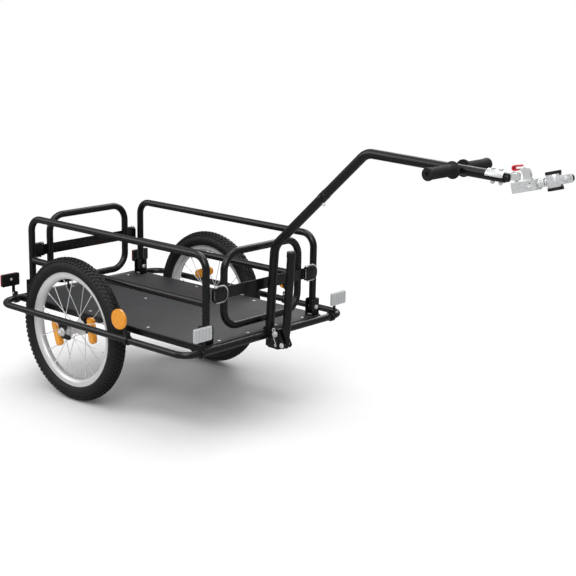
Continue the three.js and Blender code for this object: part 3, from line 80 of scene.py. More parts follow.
def newFinish(name, metallic, roughness, ior=None):
    finish = bpy.data.materials.new(name)
    finish.use_nodes = True
    tree = finish.node_tree
    shader = tree.nodes["Principled BSDF"]
    shader.inputs["Metallic"].default_value = metallic
    shader.inputs["Roughness"].default_value = roughness
    if ior:
        shader.inputs["IOR"].default_value = ior
    where = addNode(tree, "ShaderNodeTexCoord").outputs["Object"]
    return finish, tree, shader, where


def varyColour(tree, shader, where, darkHex, lightHex, size, detail=3.0):
    cloud = addNode(tree, "ShaderNodeTexNoise", {"Vector": where, "Scale": perMm(size), "Detail": detail})
    blend = addNode(tree, "ShaderNodeMix", {"Factor": cloud.outputs["Fac"]}, data_type="RGBA")
    blend.inputs["A"].default_value = linear(darkHex)
    blend.inputs["B"].default_value = linear(lightHex)
    tree.links.new(blend.outputs["Result"], shader.inputs["Base Color"])


def varyRoughness(tree, shader, where, smooth, rough, size):
    cloud = addNode(tree, "ShaderNodeTexNoise", {"Vector": where, "Scale": perMm(size), "Detail": 4.0})
    spread = addNode(tree, "ShaderNodeMapRange",
                     {"Value": cloud.outputs["Fac"], "To Min": smooth, "To Max": rough})
    tree.links.new(spread.outputs["Result"], shader.inputs["Roughness"])


def addBump(tree, shader, height, depthMm, strength):
    links = {"Height": height, "Distance": depthMm / 1000, "Strength": strength}
    bump = addNode(tree, "ShaderNodeBump", links)
    tree.links.new(bump.outputs["Normal"], shader.inputs["Normal"])


def noise(size, depth, strength, detail=2.0):
    return ("ShaderNodeTexNoise", "Fac", size, depth, strength, {"Detail": detail}, {})


def pebbles(size, depth, strength):
    return ("ShaderNodeTexVoronoi", "Distance", size, depth, strength, {}, {})


def makeFinish(name, base, tones, patch, detail=3.0, sheen=None, relief=None, coat=0.0):
    # base is (metallic, roughness, ior); sheen is (smoothest, roughest, patch); sizes are in millimetres
    finish, tree, shader, where = newFinish(name, *base)
    varyColour(tree, shader, where, *tones, patch, detail)
    if sheen:
        varyRoughness(tree, shader, where, *sheen)
    if relief:
        kind, output, size, depth, strength, links, settings = relief
        grain = addNode(tree, kind, {"Vector": where, "Scale": perMm(size), **links}, **settings)
        addBump(tree, shader, grain.outputs[output], depth, strength)
    if coat:
        shader.inputs["Coat Weight"].default_value = coat
    return finish


def lensFinish(name, darkHex, lightHex, prismMm, paintedGlow=0.0):
    # Acrylic reflector, moulded over a field of corner prisms: clear gloss outside; inside, the prism pattern
    # is painted sparkle, each prism lighter at its centre and darker at its edges
    finish, tree, shader, where = newFinish(name, 0.0, 0.16, 1.49)
    prisms = addNode(tree, "ShaderNodeTexVoronoi",
                     {"Vector": where, "Scale": perMm(prismMm), "Randomness": 0.0}, distance="MANHATTAN")
    # painted sparkle: the lens colour runs from light at each prism's centre to dark at its edges
    paintedFacetSparkle = addNode(tree, "ShaderNodeMix", {"Factor": prisms.outputs["Distance"]}, data_type="RGBA")
    paintedFacetSparkle.inputs["A"].default_value = linear(lightHex)
    paintedFacetSparkle.inputs["B"].default_value = linear(darkHex)
    tree.links.new(paintedFacetSparkle.outputs["Result"], shader.inputs["Base Color"])
    shader.inputs["Coat Weight"].default_value = 0.8
    shader.inputs["Coat Roughness"].default_value = 0.05
    # a glow strength makes the lens emit its own prism colour: a painted glow, since the reflector is no lamp
    if paintedGlow:
        tree.links.new(paintedFacetSparkle.outputs["Result"], shader.inputs["Emission Color"])
        shader.inputs["Emission Strength"].default_value = paintedGlow
    addBump(tree, shader, prisms.outputs["Distance"], 0.5, 0.35)
    return finish


# Polyester powder coat, baked on steel tube: a satin black with a fine orange peel that softens highlights
powderCoat = makeFinish("powderCoatSatinBlack", (0.0, 0.36, 1.5), ("#0c0c0d", "#121214"), 40,
                        sheen=(0.22, 0.32, 40 / 3), relief=noise(1.6, 0.035, 0.3))
# Phenolic film pressed on a fibre board: dull charcoal with a pebbled print and faint scuffs
boardFilm = makeFinish("phenolicFilmBoard", (0.0, 0.55, 1.5), ("#2a2b2d", "#363739"), 90, 6.0,
                       sheen=(0.46, 0.62, 45), relief=pebbles(1.4, 0.06, 0.35))
# Aluminium rim, extruded, rolled and clear anodised: pale silver with fine rolling lines round it
rollingLines = ("ShaderNodeTexWave", "Fac", 5.4, 0.02, 0.3, {"Distortion": 0.5},
                {"wave_type": "BANDS", "bands_direction": "Y"})
rimAlloy = makeFinish("anodisedAluminiumRim", (0.4, 0.38), ("#dcddde", "#efeff0"), 25, relief=rollingLines)
# Drawn stainless wire: bright, with faint drawing marks
spokeWire = makeFinish("drawnStainlessWire", (0.4, 0.24), ("#dddfe1", "#f3f4f4"), 12, sheen=(0.18, 0.32, 6))
# Pressed steel with bright zinc plate: silver with a cloudy passivated bloom and small press marks
zincPlate = makeFinish("brightZincPlate", (0.55, 0.27), ("#d9dadc", "#f2f3f3"), 14, 2.0,
                       sheen=(0.3, 0.36, 14), relief=noise(7, 0.03, 0.2, 1.0))
# Vulcanised rubber, moulded: near black, dusty on the knobs, with a fine matt mould texture
tyreRubber = makeFinish("vulcanisedTyreRubber", (0.0, 0.78, 1.52), ("#0a0a0b", "#151517"), 14, 5.0,
                        sheen=(0.5, 0.75, 14), relief=noise(0.7, 0.05, 0.5, 3.0))
# Thermoplastic rubber, injection moulded: soft black with a leathery grain
gripRubber = makeFinish("mouldedGripRubber", (0.0, 0.62, 1.5), ("#0c0c0d", "#141416"), 18,
                        sheen=(0.55, 0.72, 9), relief=pebbles(1.1, 0.09, 0.4))
# Nylon, injection moulded against a spark-eroded tool: satin black with a very fine stipple
nylonBlack = makeFinish("mouldedNylonBlack", (0.0, 0.42, 1.53), ("#0b0b0c", "#131314"), 15,
                        sheen=(0.36, 0.5, 6), relief=noise(0.6, 0.03, 0.4))
# Vinyl dip over the lever's tip: thick glossy red that pools a little
vinylRed = makeFinish("vinylDipRed", (0.0, 0.25, 1.52), ("#b50d22", "#d31a30"), 8,
                      relief=noise(5, 0.25, 0.4), coat=0.5)
# the amber and red lenses get a small painted glow; the clear lens gets none
amberLens = lensFinish("acrylicAmberReflector", "#cc7b0e", "#fbb848", 3.0, 0.12)
clearLens = lensFinish("acrylicClearReflector", "#a2a4a6", "#e6e7e8", 2.5)
redLens = lensFinish("acrylicRedReflector", "#a50c18", "#e02a38", 3.0, 0.2)
print("finishes made")


# Shape makers: each adds vertices and faces to a shape

def newShape():
    return {"points": [], "faces": [], "finishOf": [], "finish": 0}


def addMesh(shape, points, faces):
    first = len(shape["points"])
    shape["points"] += [Vector(p) for p in points]
    shape["faces"] += [[first + i for i in face] for face in faces]
    shape["finishOf"] += [shape["finish"]] * len(faces)


def finishShape(shape, name, finishes, body, nodes, sharp=32):
    mesh = bpy.data.meshes.new(name)
    mesh.from_pydata(shape["points"], [], shape["faces"])
    for finish in finishes:
        mesh.materials.append(finish)
    mesh.polygons.foreach_set("material_index", shape["finishOf"])
    mesh.polygons.foreach_set("use_smooth", [True] * len(mesh.polygons))
    mesh.update()
    tidy = bmesh.new()
    tidy.from_mesh(mesh)
    bmesh.ops.recalc_face_normals(tidy, faces=tidy.faces)
    tidy.to_mesh(mesh)
    tidy.free()
    mesh.set_sharp_from_angle(angle=math.radians(sharp))
    piece = bpy.data.objects.new(name, mesh)
    bpy.context.scene.collection.objects.link(piece)
    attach(piece, body)
    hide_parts(*nodes)


def circle(centre, side, up, radius, count):
    angles = [2 * math.pi * k / count for k in range(count)]
    return [centre + (side * math.cos(t) + up * math.sin(t)) * radius / 1000 for t in angles]


def squareAxes(origin, axis, place):
    centre = place(*origin)
    line = (place(*[o + a for o, a in zip(origin, axis)]) - centre).normalized()
    side = line.orthogonal().normalized()
    return centre, line, side, line.cross(side)


def mirrored(profile):
    # A profile's first half followed by its mirror image
    return profile + [(radius, -along) for radius, along in profile[::-1]]


def addSkin(shape, vertices, count, closed=False):
    # Joins rings of so many vertices each; open skins are capped at both ends
    rings = len(vertices) // count
    faces = []
    for r in range(rings if closed else rings - 1):
        s = (r + 1) % rings
        for k in range(count):
            n = (k + 1) % count
            faces.append([r * count + k, r * count + n, s * count + n, s * count + k])
    if not closed:
        faces.append(list(range(count))[::-1])
        faces.append(list(range((rings - 1) * count, rings * count)))
    addMesh(shape, vertices, faces)


def crossFrames(points):
    # Two directions square to the path at each point, carried along without twist
    tangents = []
    for i in range(len(points)):
        before = points[max(i - 1, 0)]
        after = points[min(i + 1, len(points) - 1)]
        tangents.append((after - before).normalized())
    side = tangents[0].orthogonal().normalized()
    frames = []
    for i, tangent in enumerate(tangents):
        if i:
            turn = tangents[i - 1].rotation_difference(tangent)
            side = turn @ side
        side = (side - tangent * side.dot(tangent)).normalized()
        frames.append((side, tangent.cross(side)))
    return tangents, frames


def addTube(shape, path, radius, segments=24, place=at, edge=0.5, bore=0.0, boreDepth=14.0):
    # A round tube along a path; its ends have a small rounded edge and may be open to a depth
    points = [place(*p) for p in path]
    tangents, frames = crossFrames(points)
    rings = []
    startIn = points[0] + tangents[0] * edge / 1000
    endIn = points[-1] - tangents[-1] * edge / 1000
    if bore:
        rings.append((points[0] + tangents[0] * boreDepth / 1000, 0, bore))
        rings.append((points[0] + tangents[0] * edge / 1000, 0, bore))
    rings.append((points[0], 0, radius - edge))
    rings.append((startIn, 0, radius))
    for i in range(1, len(points) - 1):
        rings.append((points[i], i, radius))
    rings.append((endIn, len(points) - 1, radius))
    rings.append((points[-1], len(points) - 1, radius - edge))
    if bore:
        rings.append((points[-1] - tangents[-1] * edge / 1000, len(points) - 1, bore))
        rings.append((points[-1] - tangents[-1] * boreDepth / 1000, len(points) - 1, bore))
    vertices = []
    for centre, i, ringRadius in rings:
        vertices += circle(centre, *frames[i], ringRadius, segments)
    addSkin(shape, vertices, segments)


def bend(corners, radii, step=7):
    # A polyline with rounded corners, as millimetre points
    points = [Vector(c) for c in corners]
    path = [points[0]]
    heading = (points[1] - points[0]).normalized()
    for i in range(1, len(points) - 1):
        following = (points[i + 1] - points[i]).normalized()
        turn = heading.angle(following)
        setback = radii[i - 1] * math.tan(turn / 2)
        inward = (following - heading * heading.dot(following)).normalized()
        start = points[i] - heading * setback
        count = max(2, math.ceil(math.degrees(turn) / step))
        for k in range(count + 1):
            angle = turn * k / count
            point = start + heading * radii[i - 1] * math.sin(angle) + inward * radii[i - 1] * (1 -
                    math.cos(angle))
            if (point - path[-1]).length > 0.01:
                path.append(point)
        heading = following
    path.append(points[-1])
    return path


def addTurned(shape, profile, origin, axis, segments=32, place=at, closed=False):
    # A turned form: profile is (radius, distance along the axis); open profiles are capped at both ends
    centre, line, side, up = squareAxes(origin, axis, place)
    vertices = []
    for radius, along in profile:
        vertices += circle(centre + line * along / 1000, side, up, radius, segments)
    addSkin(shape, vertices, segments, closed)


def addLoft(shape, rings, segments, place=at):
    # A tube pressed to ovals: rings are (height, first half width, second half width)
    vertices = []
    for height, halfA, halfB in rings:
        for k in range(segments):
            angle = 2 * math.pi * k / segments
            vertices.append(place(halfA * math.cos(angle), halfB * math.sin(angle), height))
    addSkin(shape, vertices, segments)


def addHexHead(shape, origin, axis, acrossFlats, height, place=at, chamfer=0.8):
    corner = acrossFlats / math.sqrt(3)
    addTurned(shape, [(corner, 0), (corner, height - chamfer), (corner - chamfer, height)], origin, axis, 6,
              place)


def addDome(shape, origin, axis, radius, height, place=at, segments=20):
    profile = [(radius, 0)]
    for k in range(1, 6):
        angle = math.pi / 2 * k / 6
        profile.append((radius * math.cos(angle), height * (0.35 + 0.65 * math.sin(angle))))
    addTurned(shape, profile, origin, axis, segments, place)


def addBlock(shape, lowCorner, highCorner, round=0.8, place=at):
    # A box with rounded edges
    box = bmesh.new()
    bmesh.ops.create_cube(box, size=1)
    for vertex in box.verts:
        for i in range(3):
            vertex.co[i] = lowCorner[i] + (vertex.co[i] + 0.5) * (highCorner[i] - lowCorner[i])
    bmesh.ops.bevel(box, geom=box.edges[:], offset=round, segments=2, profile=0.7, affect="EDGES")
    addMesh(shape, [place(*v.co) for v in box.verts], [[v.index for v in f.verts] for f in box.faces])
    box.free()


def arc(centreX, centreY, radius, fromDegrees, toDegrees, steps=10):
    points = []
    for k in range(steps + 1):
        angle = math.radians(fromDegrees + (toDegrees - fromDegrees) * k / steps)
        points.append((centreX + radius * math.cos(angle), centreY + radius * math.sin(angle)))
    return points


def roundedOutline(x0, y0, x1, y1, radius, steps=6):
    return (arc(x1 - radius, y0 + radius, radius, -90, 0, steps) + arc(x1 - radius, y1 - radius, radius, 0,
            90, steps) + arc(x0 + radius, y1 - radius, radius, 90, 180, steps) + arc(x0 + radius, y0 +
            radius, radius, 180, 270, steps))


def addPlate(shape, outline, holes, thickness, lift, place=at, edge=0.4):
    # A pressed plate with holes and softened edges; lift turns its outline's (a, b) and depth into x, y, z
    curve = bpy.data.curves.new("plateOutline", "CURVE")
    curve.dimensions = "2D"
    curve.fill_mode = "BOTH"
    curve.extrude = thickness / 2 - edge
    curve.bevel_depth = edge
    curve.bevel_resolution = 1
    curve.offset = -edge
    for loop in [outline] + holes:
        spline = curve.splines.new("POLY")
        spline.points.add(len(loop) - 1)
        for point, (a, b) in zip(spline.points, loop):
            point.co = (a, b, 0, 1)
        spline.use_cyclic_u = True
    holder = bpy.data.objects.new("plateOutline", curve)
    bpy.context.scene.collection.objects.link(holder)
    flat = holder.evaluated_get(bpy.context.evaluated_depsgraph_get()).to_mesh()
    weld = bmesh.new()
    weld.from_mesh(flat)
    bmesh.ops.remove_doubles(weld, verts=weld.verts, dist=0.002)
    weld.verts.ensure_lookup_table()
    addMesh(shape, [place(*lift(*v.co)) for v in weld.verts],
            [[v.index for v in f.verts] for f in weld.faces])
    weld.free()
    bpy.data.objects.remove(holder)
    bpy.data.curves.remove(curve)


def addWeld(shape, centre, mainAxis, branchAxis, mainRadius, branchRadius, bead=1.5, place=at):
    # The rippled fillet where a branch tube meets the side of a main tube
    centre, mainAxis, branchAxis = Vector(centre), Vector(mainAxis), Vector(branchAxis)
    across = mainAxis.cross(branchAxis)
    ring, count, sidesOfBead = [], 48, 6
    for k in range(count):
        angle = 2 * math.pi * k / count
        offset = branchRadius * math.sin(angle)
        reach = math.sqrt(max(mainRadius ** 2 - offset ** 2, 0.0))
        ring.append(centre + branchAxis * reach + mainAxis * branchRadius * math.cos(angle) + across * offset)
    vertices = []
    for k in range(count):
        tangent = (ring[(k + 1) % count] - ring[k - 1]).normalized()
        side = branchAxis.cross(tangent).normalized()
        up = tangent.cross(side)
        size = bead * (1.0 + 0.16 * (k % 2))
        for j in range(sidesOfBead):
            angle = 2 * math.pi * j / sidesOfBead
            vertices.append(place(*(ring[k] + (side * math.cos(angle) + up * math.sin(angle)) * size)))
    addSkin(shape, vertices, sidesOfBead, closed=True)


print("shape makers ready")

# Base frame, dropouts and guard tubes

base = {"level": 232, "tube": 10, "frontX": 483, "frontHalf": 266, "rearX": -284, "rearHalf": 236,
        "bar": 15, "barY": 221.5, "crossX": (0, 235), "wall": 1.5}
guard = {"radius": 9, "y": 306, "frontBend": 39, "rearBend": 56, "spigot": 8.2, "spigotLength": 28, "gap":
         0.3}
dropoutPlate = {"wall": 5, "half": 19, "lipLength": 31, "lipHeight": 13, "slot": 5.4, "washer": 12, "axleZ":
                200, "inboardY": 222, "outboardY": 299}


def dropoutOutline(topZ):
    d = dropoutPlate
    lipBottom = d["axleZ"] - d["slot"] - d["lipHeight"]
    lipMiddle = lipBottom + d["lipHeight"] / 2
    lipEnd = d["lipLength"] - d["lipHeight"] / 2
    outline = [(-d["half"], topZ), (-d["washer"], d["axleZ"] - d["slot"]), (-5, lipBottom),
               (lipEnd, lipBottom)]
    outline += arc(lipEnd, lipMiddle, d["lipHeight"] / 2, -90, 90)
    outline += [(0, d["axleZ"] - d["slot"])] + arc(0, d["axleZ"], d["slot"], 270, 90)
    outline += [(d["washer"], d["axleZ"] + d["slot"]), (d["half"], topZ)]
    return outline


def addDropout(shape, side, innerY, topZ):
    middleY = side * (innerY + dropoutPlate["wall"] / 2)
    addPlate(shape, dropoutOutline(topZ), [], dropoutPlate["wall"], lambda a, b, c: (a, middleY + c, b))


def makeBaseFrame():
    shape = newShape()
    for x, half in ((base["frontX"], base["frontHalf"]), (base["rearX"], base["rearHalf"])):
        addTube(shape, [(x, -half, base["level"]), (x, half, base["level"])], base["tube"], 32,
                bore=base["tube"] - base["wall"], boreDepth=24)
    bottom = base["level"] - base["tube"]
    for side in sides.values():
        y = side * base["barY"]
        addBlock(shape, (base["rearX"] + 6, y - base["bar"] / 2, bottom),
                 (base["frontX"] - 6, y + base["bar"] / 2, bottom + base["bar"]), 1.6)
        addDropout(shape, side, dropoutPlate["inboardY"], bottom + 10)
        for x, facing in ((base["frontX"], -1), (base["rearX"], 1)):
            bead = x + facing * base["tube"] * 0.93
            addTube(shape,
                    bend([(bead, y - 8, bottom + 1), (bead, y - 8, bottom + 15), (bead, y + 8, bottom + 15),
                          (bead, y + 8, bottom + 1)], [2, 2]), 1.6, 8)
    for x in base["crossX"]:
        addBlock(shape, (x - base["bar"] / 2, -base["barY"] + 6, bottom),
                 (x + base["bar"] / 2, base["barY"] - 6, bottom + base["bar"]), 1.6)
        for side in sides.values():
            y = side * (base["barY"] - base["bar"] / 2)
            for edge in (-1, 1):
                addTube(shape, [(x + edge * 7.5, y, bottom + 1), (x + edge * 7.5, y, bottom + 14)], 1.5, 8)
    finishShape(shape, "baseFrameWelded", [powderCoat], "frame", ["base_frame"])


def makeGuardTube(name, side):
    shape = newShape()
    y = side * guard["y"]
    frontY = side * (base["frontHalf"] + guard["gap"])
    rearY = side * (base["rearHalf"] + guard["gap"])
    path = bend([(base["frontX"], frontY, base["level"]), (base["frontX"], y, base["level"]),
                 (base["rearX"], y, base["level"]), (base["rearX"], rearY, base["level"])],
                [guard["frontBend"], guard["rearBend"]])
    addTube(shape, path, guard["radius"], 28, edge=0.6)
    for x, half in ((base["frontX"], base["frontHalf"]), (base["rearX"], base["rearHalf"])):
        addTube(shape, [(x, side * (half - guard["spigotLength"] + 5), base["level"]),
                        (x, side * (half + 1), base["level"])], guard["spigot"], 24)
    addDropout(shape, side, dropoutPlate["outboardY"], base["level"] - 4)
    for edge in (-1, 1):
        addTube(shape, [(-19, side * 301.5 + edge * 2.6, 225), (19, side * 301.5 + edge * 2.6, 225)], 1.5, 8)
    finishShape(shape, f"guardTube_{name}", [powderCoat], "frame", [f"guard_tube_{name}"])


makeBaseFrame()
for name, side in sides.items():
    makeGuardTube(name, side)
print("base frame and guard tubes made")

# Floor board with its screws

board = {"frontX": 471, "rearX": -272, "half": 229, "low": 237.3, "high": 240.3, "corner": 10, "screws":
         [(456, -162), (456, -55), (456, 55), (456, 162), (235, -205), (235, 205), (0, -205), (0, 205),
          (235, 0), (0, 0), (-258, -162), (-258, -55), (-258, 55), (-258, 162)], "screwRadius": 4.2,
         "screwHeight": 1.5}


def makeBoard():
    shape = newShape()
    outline = roundedOutline(board["rearX"], -board["half"], board["frontX"], board["half"], board["corner"])
    middle = (board["low"] + board["high"]) / 2
    addPlate(shape, outline, [], board["high"] - board["low"], lambda a, b, c: (a, b, middle + c))
    shape["finish"] = 1
    for x, y in board["screws"]:
        addDome(shape, (x, y, board["high"] - 0.1), (0, 0, 1), board["screwRadius"], board["screwHeight"])
        addTurned(shape, [(1.5, 0), (1.3, 0.25), (0.2, 0.25)],
                  (x, y, board["high"] + board["screwHeight"] - 0.2), (0, 0, 1), 6)
    finishShape(shape, "loadBoard", [boardFilm, zincPlate], "frame", ["floor_board"])


makeBoard()
print("board made")

# Corner sockets and side rails

socket = {"half": 13.7, "low": 240.6, "height": 47, "wall": 3, "boltZ": 264.3, "boltRadius": 4,
          "headRadius": 6, "headHeight": 4, "round": 0.9, "screw": 3.4}
rail = {"radius": 9.7, "y": 207, "frontX": 453, "rearX": -250, "top": 467, "lowerBar": 344, "bend": 38,
        "footZ": 254.6}


def makeSocket(end, name, x, side):
    shape = newShape()
    s = socket
    y = side * rail["y"]

    def place(a, b, c):
        return at(x + a, y + side * b, c)

    top = s["low"] + s["height"]
    addBlock(shape, (-s["half"], -s["half"], s["low"]), (s["half"], s["half"], s["low"] + s["wall"]),
             s["round"], place)
    for edge in (-1, 1):
        a = sorted((edge * s["half"], edge * (s["half"] - s["wall"])))
        outline = ([(-s["half"], s["low"]), (s["half"], s["low"]), (s["half"], top - 1)]
                   + arc(-s["half"] + 6, top - 6, 6, 90, 180))
        middleA = sum(a) / 2
        addPlate(shape, outline, [], s["wall"], lambda p, q, c: (middleA + c, p, q), place, 0.5)
    addBlock(shape, (-s["half"], s["half"] - s["wall"], s["low"]), (s["half"], s["half"], top), s["round"],
             place)
    shape["finish"] = 1
    for edge in (-1, 1):
        addHexHead(shape, (edge * s["half"], 0, s["boltZ"]), (edge, 0, 0), s["headRadius"] * 1.75,
                   s["headHeight"], place)
        addTurned(shape, [(s["headRadius"], 0), (s["headRadius"], 0.8)], (edge * s["half"], 0, s["boltZ"]),
                  (edge, 0, 0), 24, place)
    addTube(shape, [(-s["half"], 0, s["boltZ"]), (s["half"], 0, s["boltZ"])], s["boltRadius"], 16, place)
    for edge in (-1, 1):
        addDome(shape, (edge * 4, -8.6, s["low"] + s["wall"]), (0, 0, 1), s["screw"], 1.4, place)
    finishShape(shape, f"cornerSocket_{end}_{name}", [powderCoat, zincPlate], "frame",
                [f"socket_{end}_{name}"])


def makeRail(name, side):
    shape = newShape()
    r = rail
    y = side * r["y"]
    path = bend([(r["frontX"], y, r["footZ"]), (r["frontX"], y, r["top"]), (r["rearX"], y, r["top"]),
                 (r["rearX"], y, r["footZ"])], [r["bend"], r["bend"]])
    addTube(shape, path, r["radius"], 28, bore=r["radius"] - 1.2, boreDepth=10)
    addTube(shape, [(r["rearX"] + 3, y, r["lowerBar"]), (r["frontX"] - 3, y, r["lowerBar"])], r["radius"] -
            0.05, 28)
    for x, facing in ((r["frontX"], -1), (r["rearX"], 1)):
        addWeld(shape, (x, y, r["lowerBar"]), (0, 0, 1), (facing, 0, 0), r["radius"], r["radius"] - 0.6)
    finishShape(shape, f"sideRail_{name}", [powderCoat], "frame", [f"side_rail_{name}"])


for name, side in sides.items():
    makeRail(name, side)
    for end, x in (("front", rail["frontX"]), ("rear", rail["rearX"])):
        makeSocket(end, name, x, side)
print("rails and sockets made")

# End panels with their wire lock pins

panel = {"radius": 9.7, "half": 143, "top": 465, "bottom": 270, "bend": 48, "barZ": 367, "barHeight": 30,
         "barHalf": 197.3, "barBack": 10, "barFace": 14, "pad": 12, "bracketDepth": 10, "bracketLength": 44,
         "bracketHeight": 36, "corner": 15, "wall": 3, "lockNear": -190.26, "lockFar": 158.8}
lockWire = {"pin": 3, "wire": 2, "reach": 42, "half": 21, "bend": 18, "head": 5}


def panelAt(x, turned):
    sign = -1 if turned else 1
    return lambda a, b, c: at(x + sign * a, sign * b, c)


def makePanel(end, x, turned):
    shape = newShape()
    p = panel
    place = panelAt(x, turned)
    middle = (p["top"] + p["bottom"]) / 2
    loop = bend([(0, -p["half"], middle), (0, -p["half"], p["top"]), (0, p["half"], p["top"]),
                 (0, p["half"], p["bottom"]), (0, -p["half"], p["bottom"]), (0, -p["half"], middle)],
                [p["bend"]] * 4)
    addTube(shape, loop, p["radius"], 28, place, edge=0.02)
    low, high = p["barZ"] - p["barHeight"] / 2, p["barZ"] + p["barHeight"] / 2
    addBlock(shape, (p["barBack"], -p["barHalf"], low), (p["barFace"], p["barHalf"], high), 1.2, place)
    for side in (-1, 1):
        y = side * p["half"]
        addBlock(shape, (1, y - p["pad"] / 2, p["barZ"] - p["pad"]),
                 (p["barBack"] + 0.5, y + p["pad"] / 2, p["barZ"] + p["pad"]), 1.4, place)
        for edge in (-1, 1):
            addTube(shape,
                    [(p["barBack"] - 0.8, y + edge * 7, low + 3),
                     (p["barBack"] - 0.8, y + edge * 7, high - 3)], 1.6, 8, place)
        start = p["barHalf"] - p["bracketLength"] if side > 0 else -p["barHalf"]
        stop = start + p["bracketLength"]
        face = p["barFace"] + p["bracketDepth"]
        half, corner = p["bracketHeight"] / 2, p["corner"]
        front = [(start, -half)] + arc(stop - corner, corner - half, corner, -90, 0, 12)
        front += arc(stop - corner, half - corner, corner, 0, 90, 12) + [(start, half)]
        addPlate(shape, front, [], p["wall"], lambda a, b, c: (face - p["wall"] / 2 + c, a, p["barZ"] + b),
                 place, 0.9)
        for upDown in (-1, 1):  # the folded top and bottom follow the face's rounded end
            fold = [(start, half)] + arc(stop - corner, half - corner, corner, 90, 53, 6) + [(start, half -
                    p["wall"])]
            middleX = (p["barFace"] + face - p["wall"]) / 2
            addPlate(shape, fold, [], p["bracketDepth"] - p["wall"] + 1.2,
                     lambda a, b, c, f=upDown: (middleX + c, a, p["barZ"] + f * b), place, 0.3)
    finishShape(shape, f"endPanel_{end}", [powderCoat], f"panel_{end}", [f"panel_{end}"])


def makeLockPin(end, spot, x, turned):
    shape = newShape()
    w = lockWire
    panelPlace = panelAt(x, turned)
    lockX = panel["barFace"] + (panel["bracketDepth"] - panel["wall"]) / 2
    y = panel["lockFar"] if spot == "far" else panel["lockNear"]

    def place(a, b, c):
        return panelPlace(lockX + a, y + b, panel["barZ"] + c)

    loop = bend([(0, 0, w["half"]), (0, w["reach"], w["half"]), (0, w["reach"], -w["half"]),
                 (0, w["pin"], -w["half"])], [w["bend"], w["bend"]], 6)
    addTube(shape, loop, w["wire"], 14, place)
    tip = -w["half"] + w["wire"] + 0.3
    addTurned(shape,
              [(1.6, tip), (w["pin"], tip + 1.6), (w["pin"], w["half"] - 2), (w["head"], w["half"] - 2),
               (w["head"], w["half"] + 1.2), (w["head"] - 0.9, w["half"] + 2)], (0, 0, 0), (0, 0, 1), 20,
              place)
    finishShape(shape, f"lockPin_{end}_{spot}", [zincPlate], f"lock_{end}_{spot}",
                [f"lock_pin_{end}_{spot}"])


for end, x, turned in (("front", rail["frontX"], False), ("rear", rail["rearX"], True)):
    makePanel(end, x, turned)
    for spot in ("near", "far"):
        makeLockPin(end, spot, x, turned)
print("end panels made")

# Drawbar bracket, pin and prop stand

bracket = {"inner": 13, "wall": 3, "rearX": 484, "frontX": 528, "top": 255, "bottom": 200, "tubeX": 483,
           "tubeZ": 232, "rearTop": 249, "rearBottom": 204, "earInner": 11.6, "earWall": 3, "earRound": 10,
           "earTop": 250}
pin = {"x": 518.5, "z": 241, "radius": 4, "head": 8, "headHeight": 5, "tail": 8, "clipWire": 1.1}
stand = {"x": 540, "z": 214, "radius": 11, "length": 250, "lean": 3.2, "foot": 12, "footHeight": 16, "bolt":
         4, "boltHead": 7}


def makeBracket():
    shape = newShape()
    b = bracket
    outer = b["inner"] + b["wall"]
    seat = arc(b["tubeX"], b["tubeZ"], 10.6, -84, 84, 14)
    cheek = [(b["rearX"], b["rearBottom"]), (b["frontX"] - 8, b["bottom"]), (b["frontX"] - 1, b["bottom"])]
    cheek += arc(b["frontX"] - 4, b["top"] - 4, 4, 0, 90, 6) + [(b["rearX"], b["rearTop"])] + seat[::-1]
    hole = arc(pin["x"], pin["z"], 4.4, 360, 18, 18)
    for side in (-1, 1):
        y = side * (b["inner"] + b["wall"] / 2)
        addPlate(shape, cheek, [hole], b["wall"], lambda a, c, d, y=y: (a, y + d, c))
        earY = side * (b["earInner"] + b["earWall"] / 2)
        ear = [(b["frontX"] - 1, b["earTop"]), (b["frontX"] - 1, stand["z"] - b["earRound"])]
        ear += arc(stand["x"], stand["z"], b["earRound"], -90, 0, 10) + [(b["frontX"] + 3, b["earTop"])]
        earHole = arc(stand["x"], stand["z"], 4.4, 360, 18, 18)
        addPlate(shape, ear, [earHole], b["earWall"], lambda a, c, d, y=earY: (a, y + d, c))
    addBlock(shape, (b["frontX"] - b["wall"], -outer + 0.3, b["bottom"]),
             (b["frontX"], outer - 0.3, b["top"] - 0.5), 0.9)
    addBlock(shape, (b["rearX"] + 8, -outer + 0.3, b["bottom"] + 0.5),
             (b["frontX"], outer - 0.3, b["bottom"] + b["wall"] + 0.5), 0.9)
    finishShape(shape, "drawbarBracket", [powderCoat], "frame", ["drawbar_bracket"])


def makeDrawbarPin():
    shape = newShape()
    p = pin
    outer = bracket["inner"] + bracket["wall"]
    face = -outer - 0.3
    addTurned(shape,
              [(p["head"] - 0.8, face - p["headHeight"]), (p["head"], face - p["headHeight"] + 0.9),
               (p["head"], face - 0.5), (p["head"] - 0.5, face), (p["radius"], face),
               (p["radius"], outer + p["tail"] - 1.2), (p["radius"] - 1.2, outer + p["tail"])],
              (p["x"], 0, p["z"]), (0, 1, 0), 28)
    clipX, clipY = p["x"] + 2, face - p["headHeight"] - 1.4
    clip = bend([(clipX - 3, clipY, p["z"] + 9), (clipX + 3, clipY - 1, p["z"] + 2),
                 (clipX - 2, clipY - 1, p["z"] - 9), (clipX + 3, clipY, p["z"] - 20),
                 (clipX + 6, clipY + 1, p["z"] - 30), (clipX + 1, clipY + 1, p["z"] - 34),
                 (clipX + 1, clipY, p["z"] - 25)], [3, 3, 5, 3, 2.5], 12)
    addTube(shape, clip, p["clipWire"], 10, edge=0.3)
    eye = [(clipX - 3 + 4.5 * math.cos(t * math.pi / 12), clipY, p["z"] + 12 + 4.5 * math.sin(t * math.pi /
            12)) for t in range(-6, 17)]
    addTube(shape, eye, p["clipWire"], 10, edge=0.3)
    finishShape(shape, "drawbarPinWithClip", [zincPlate], "drawbar_pin", ["drawbar_pin"])


def standAt(a, b, c):
    lean = math.radians(stand["lean"])
    return at(stand["x"] + a * math.cos(lean) + c * math.sin(lean), b, stand["z"] - a * math.sin(lean) + c *
              math.cos(lean))


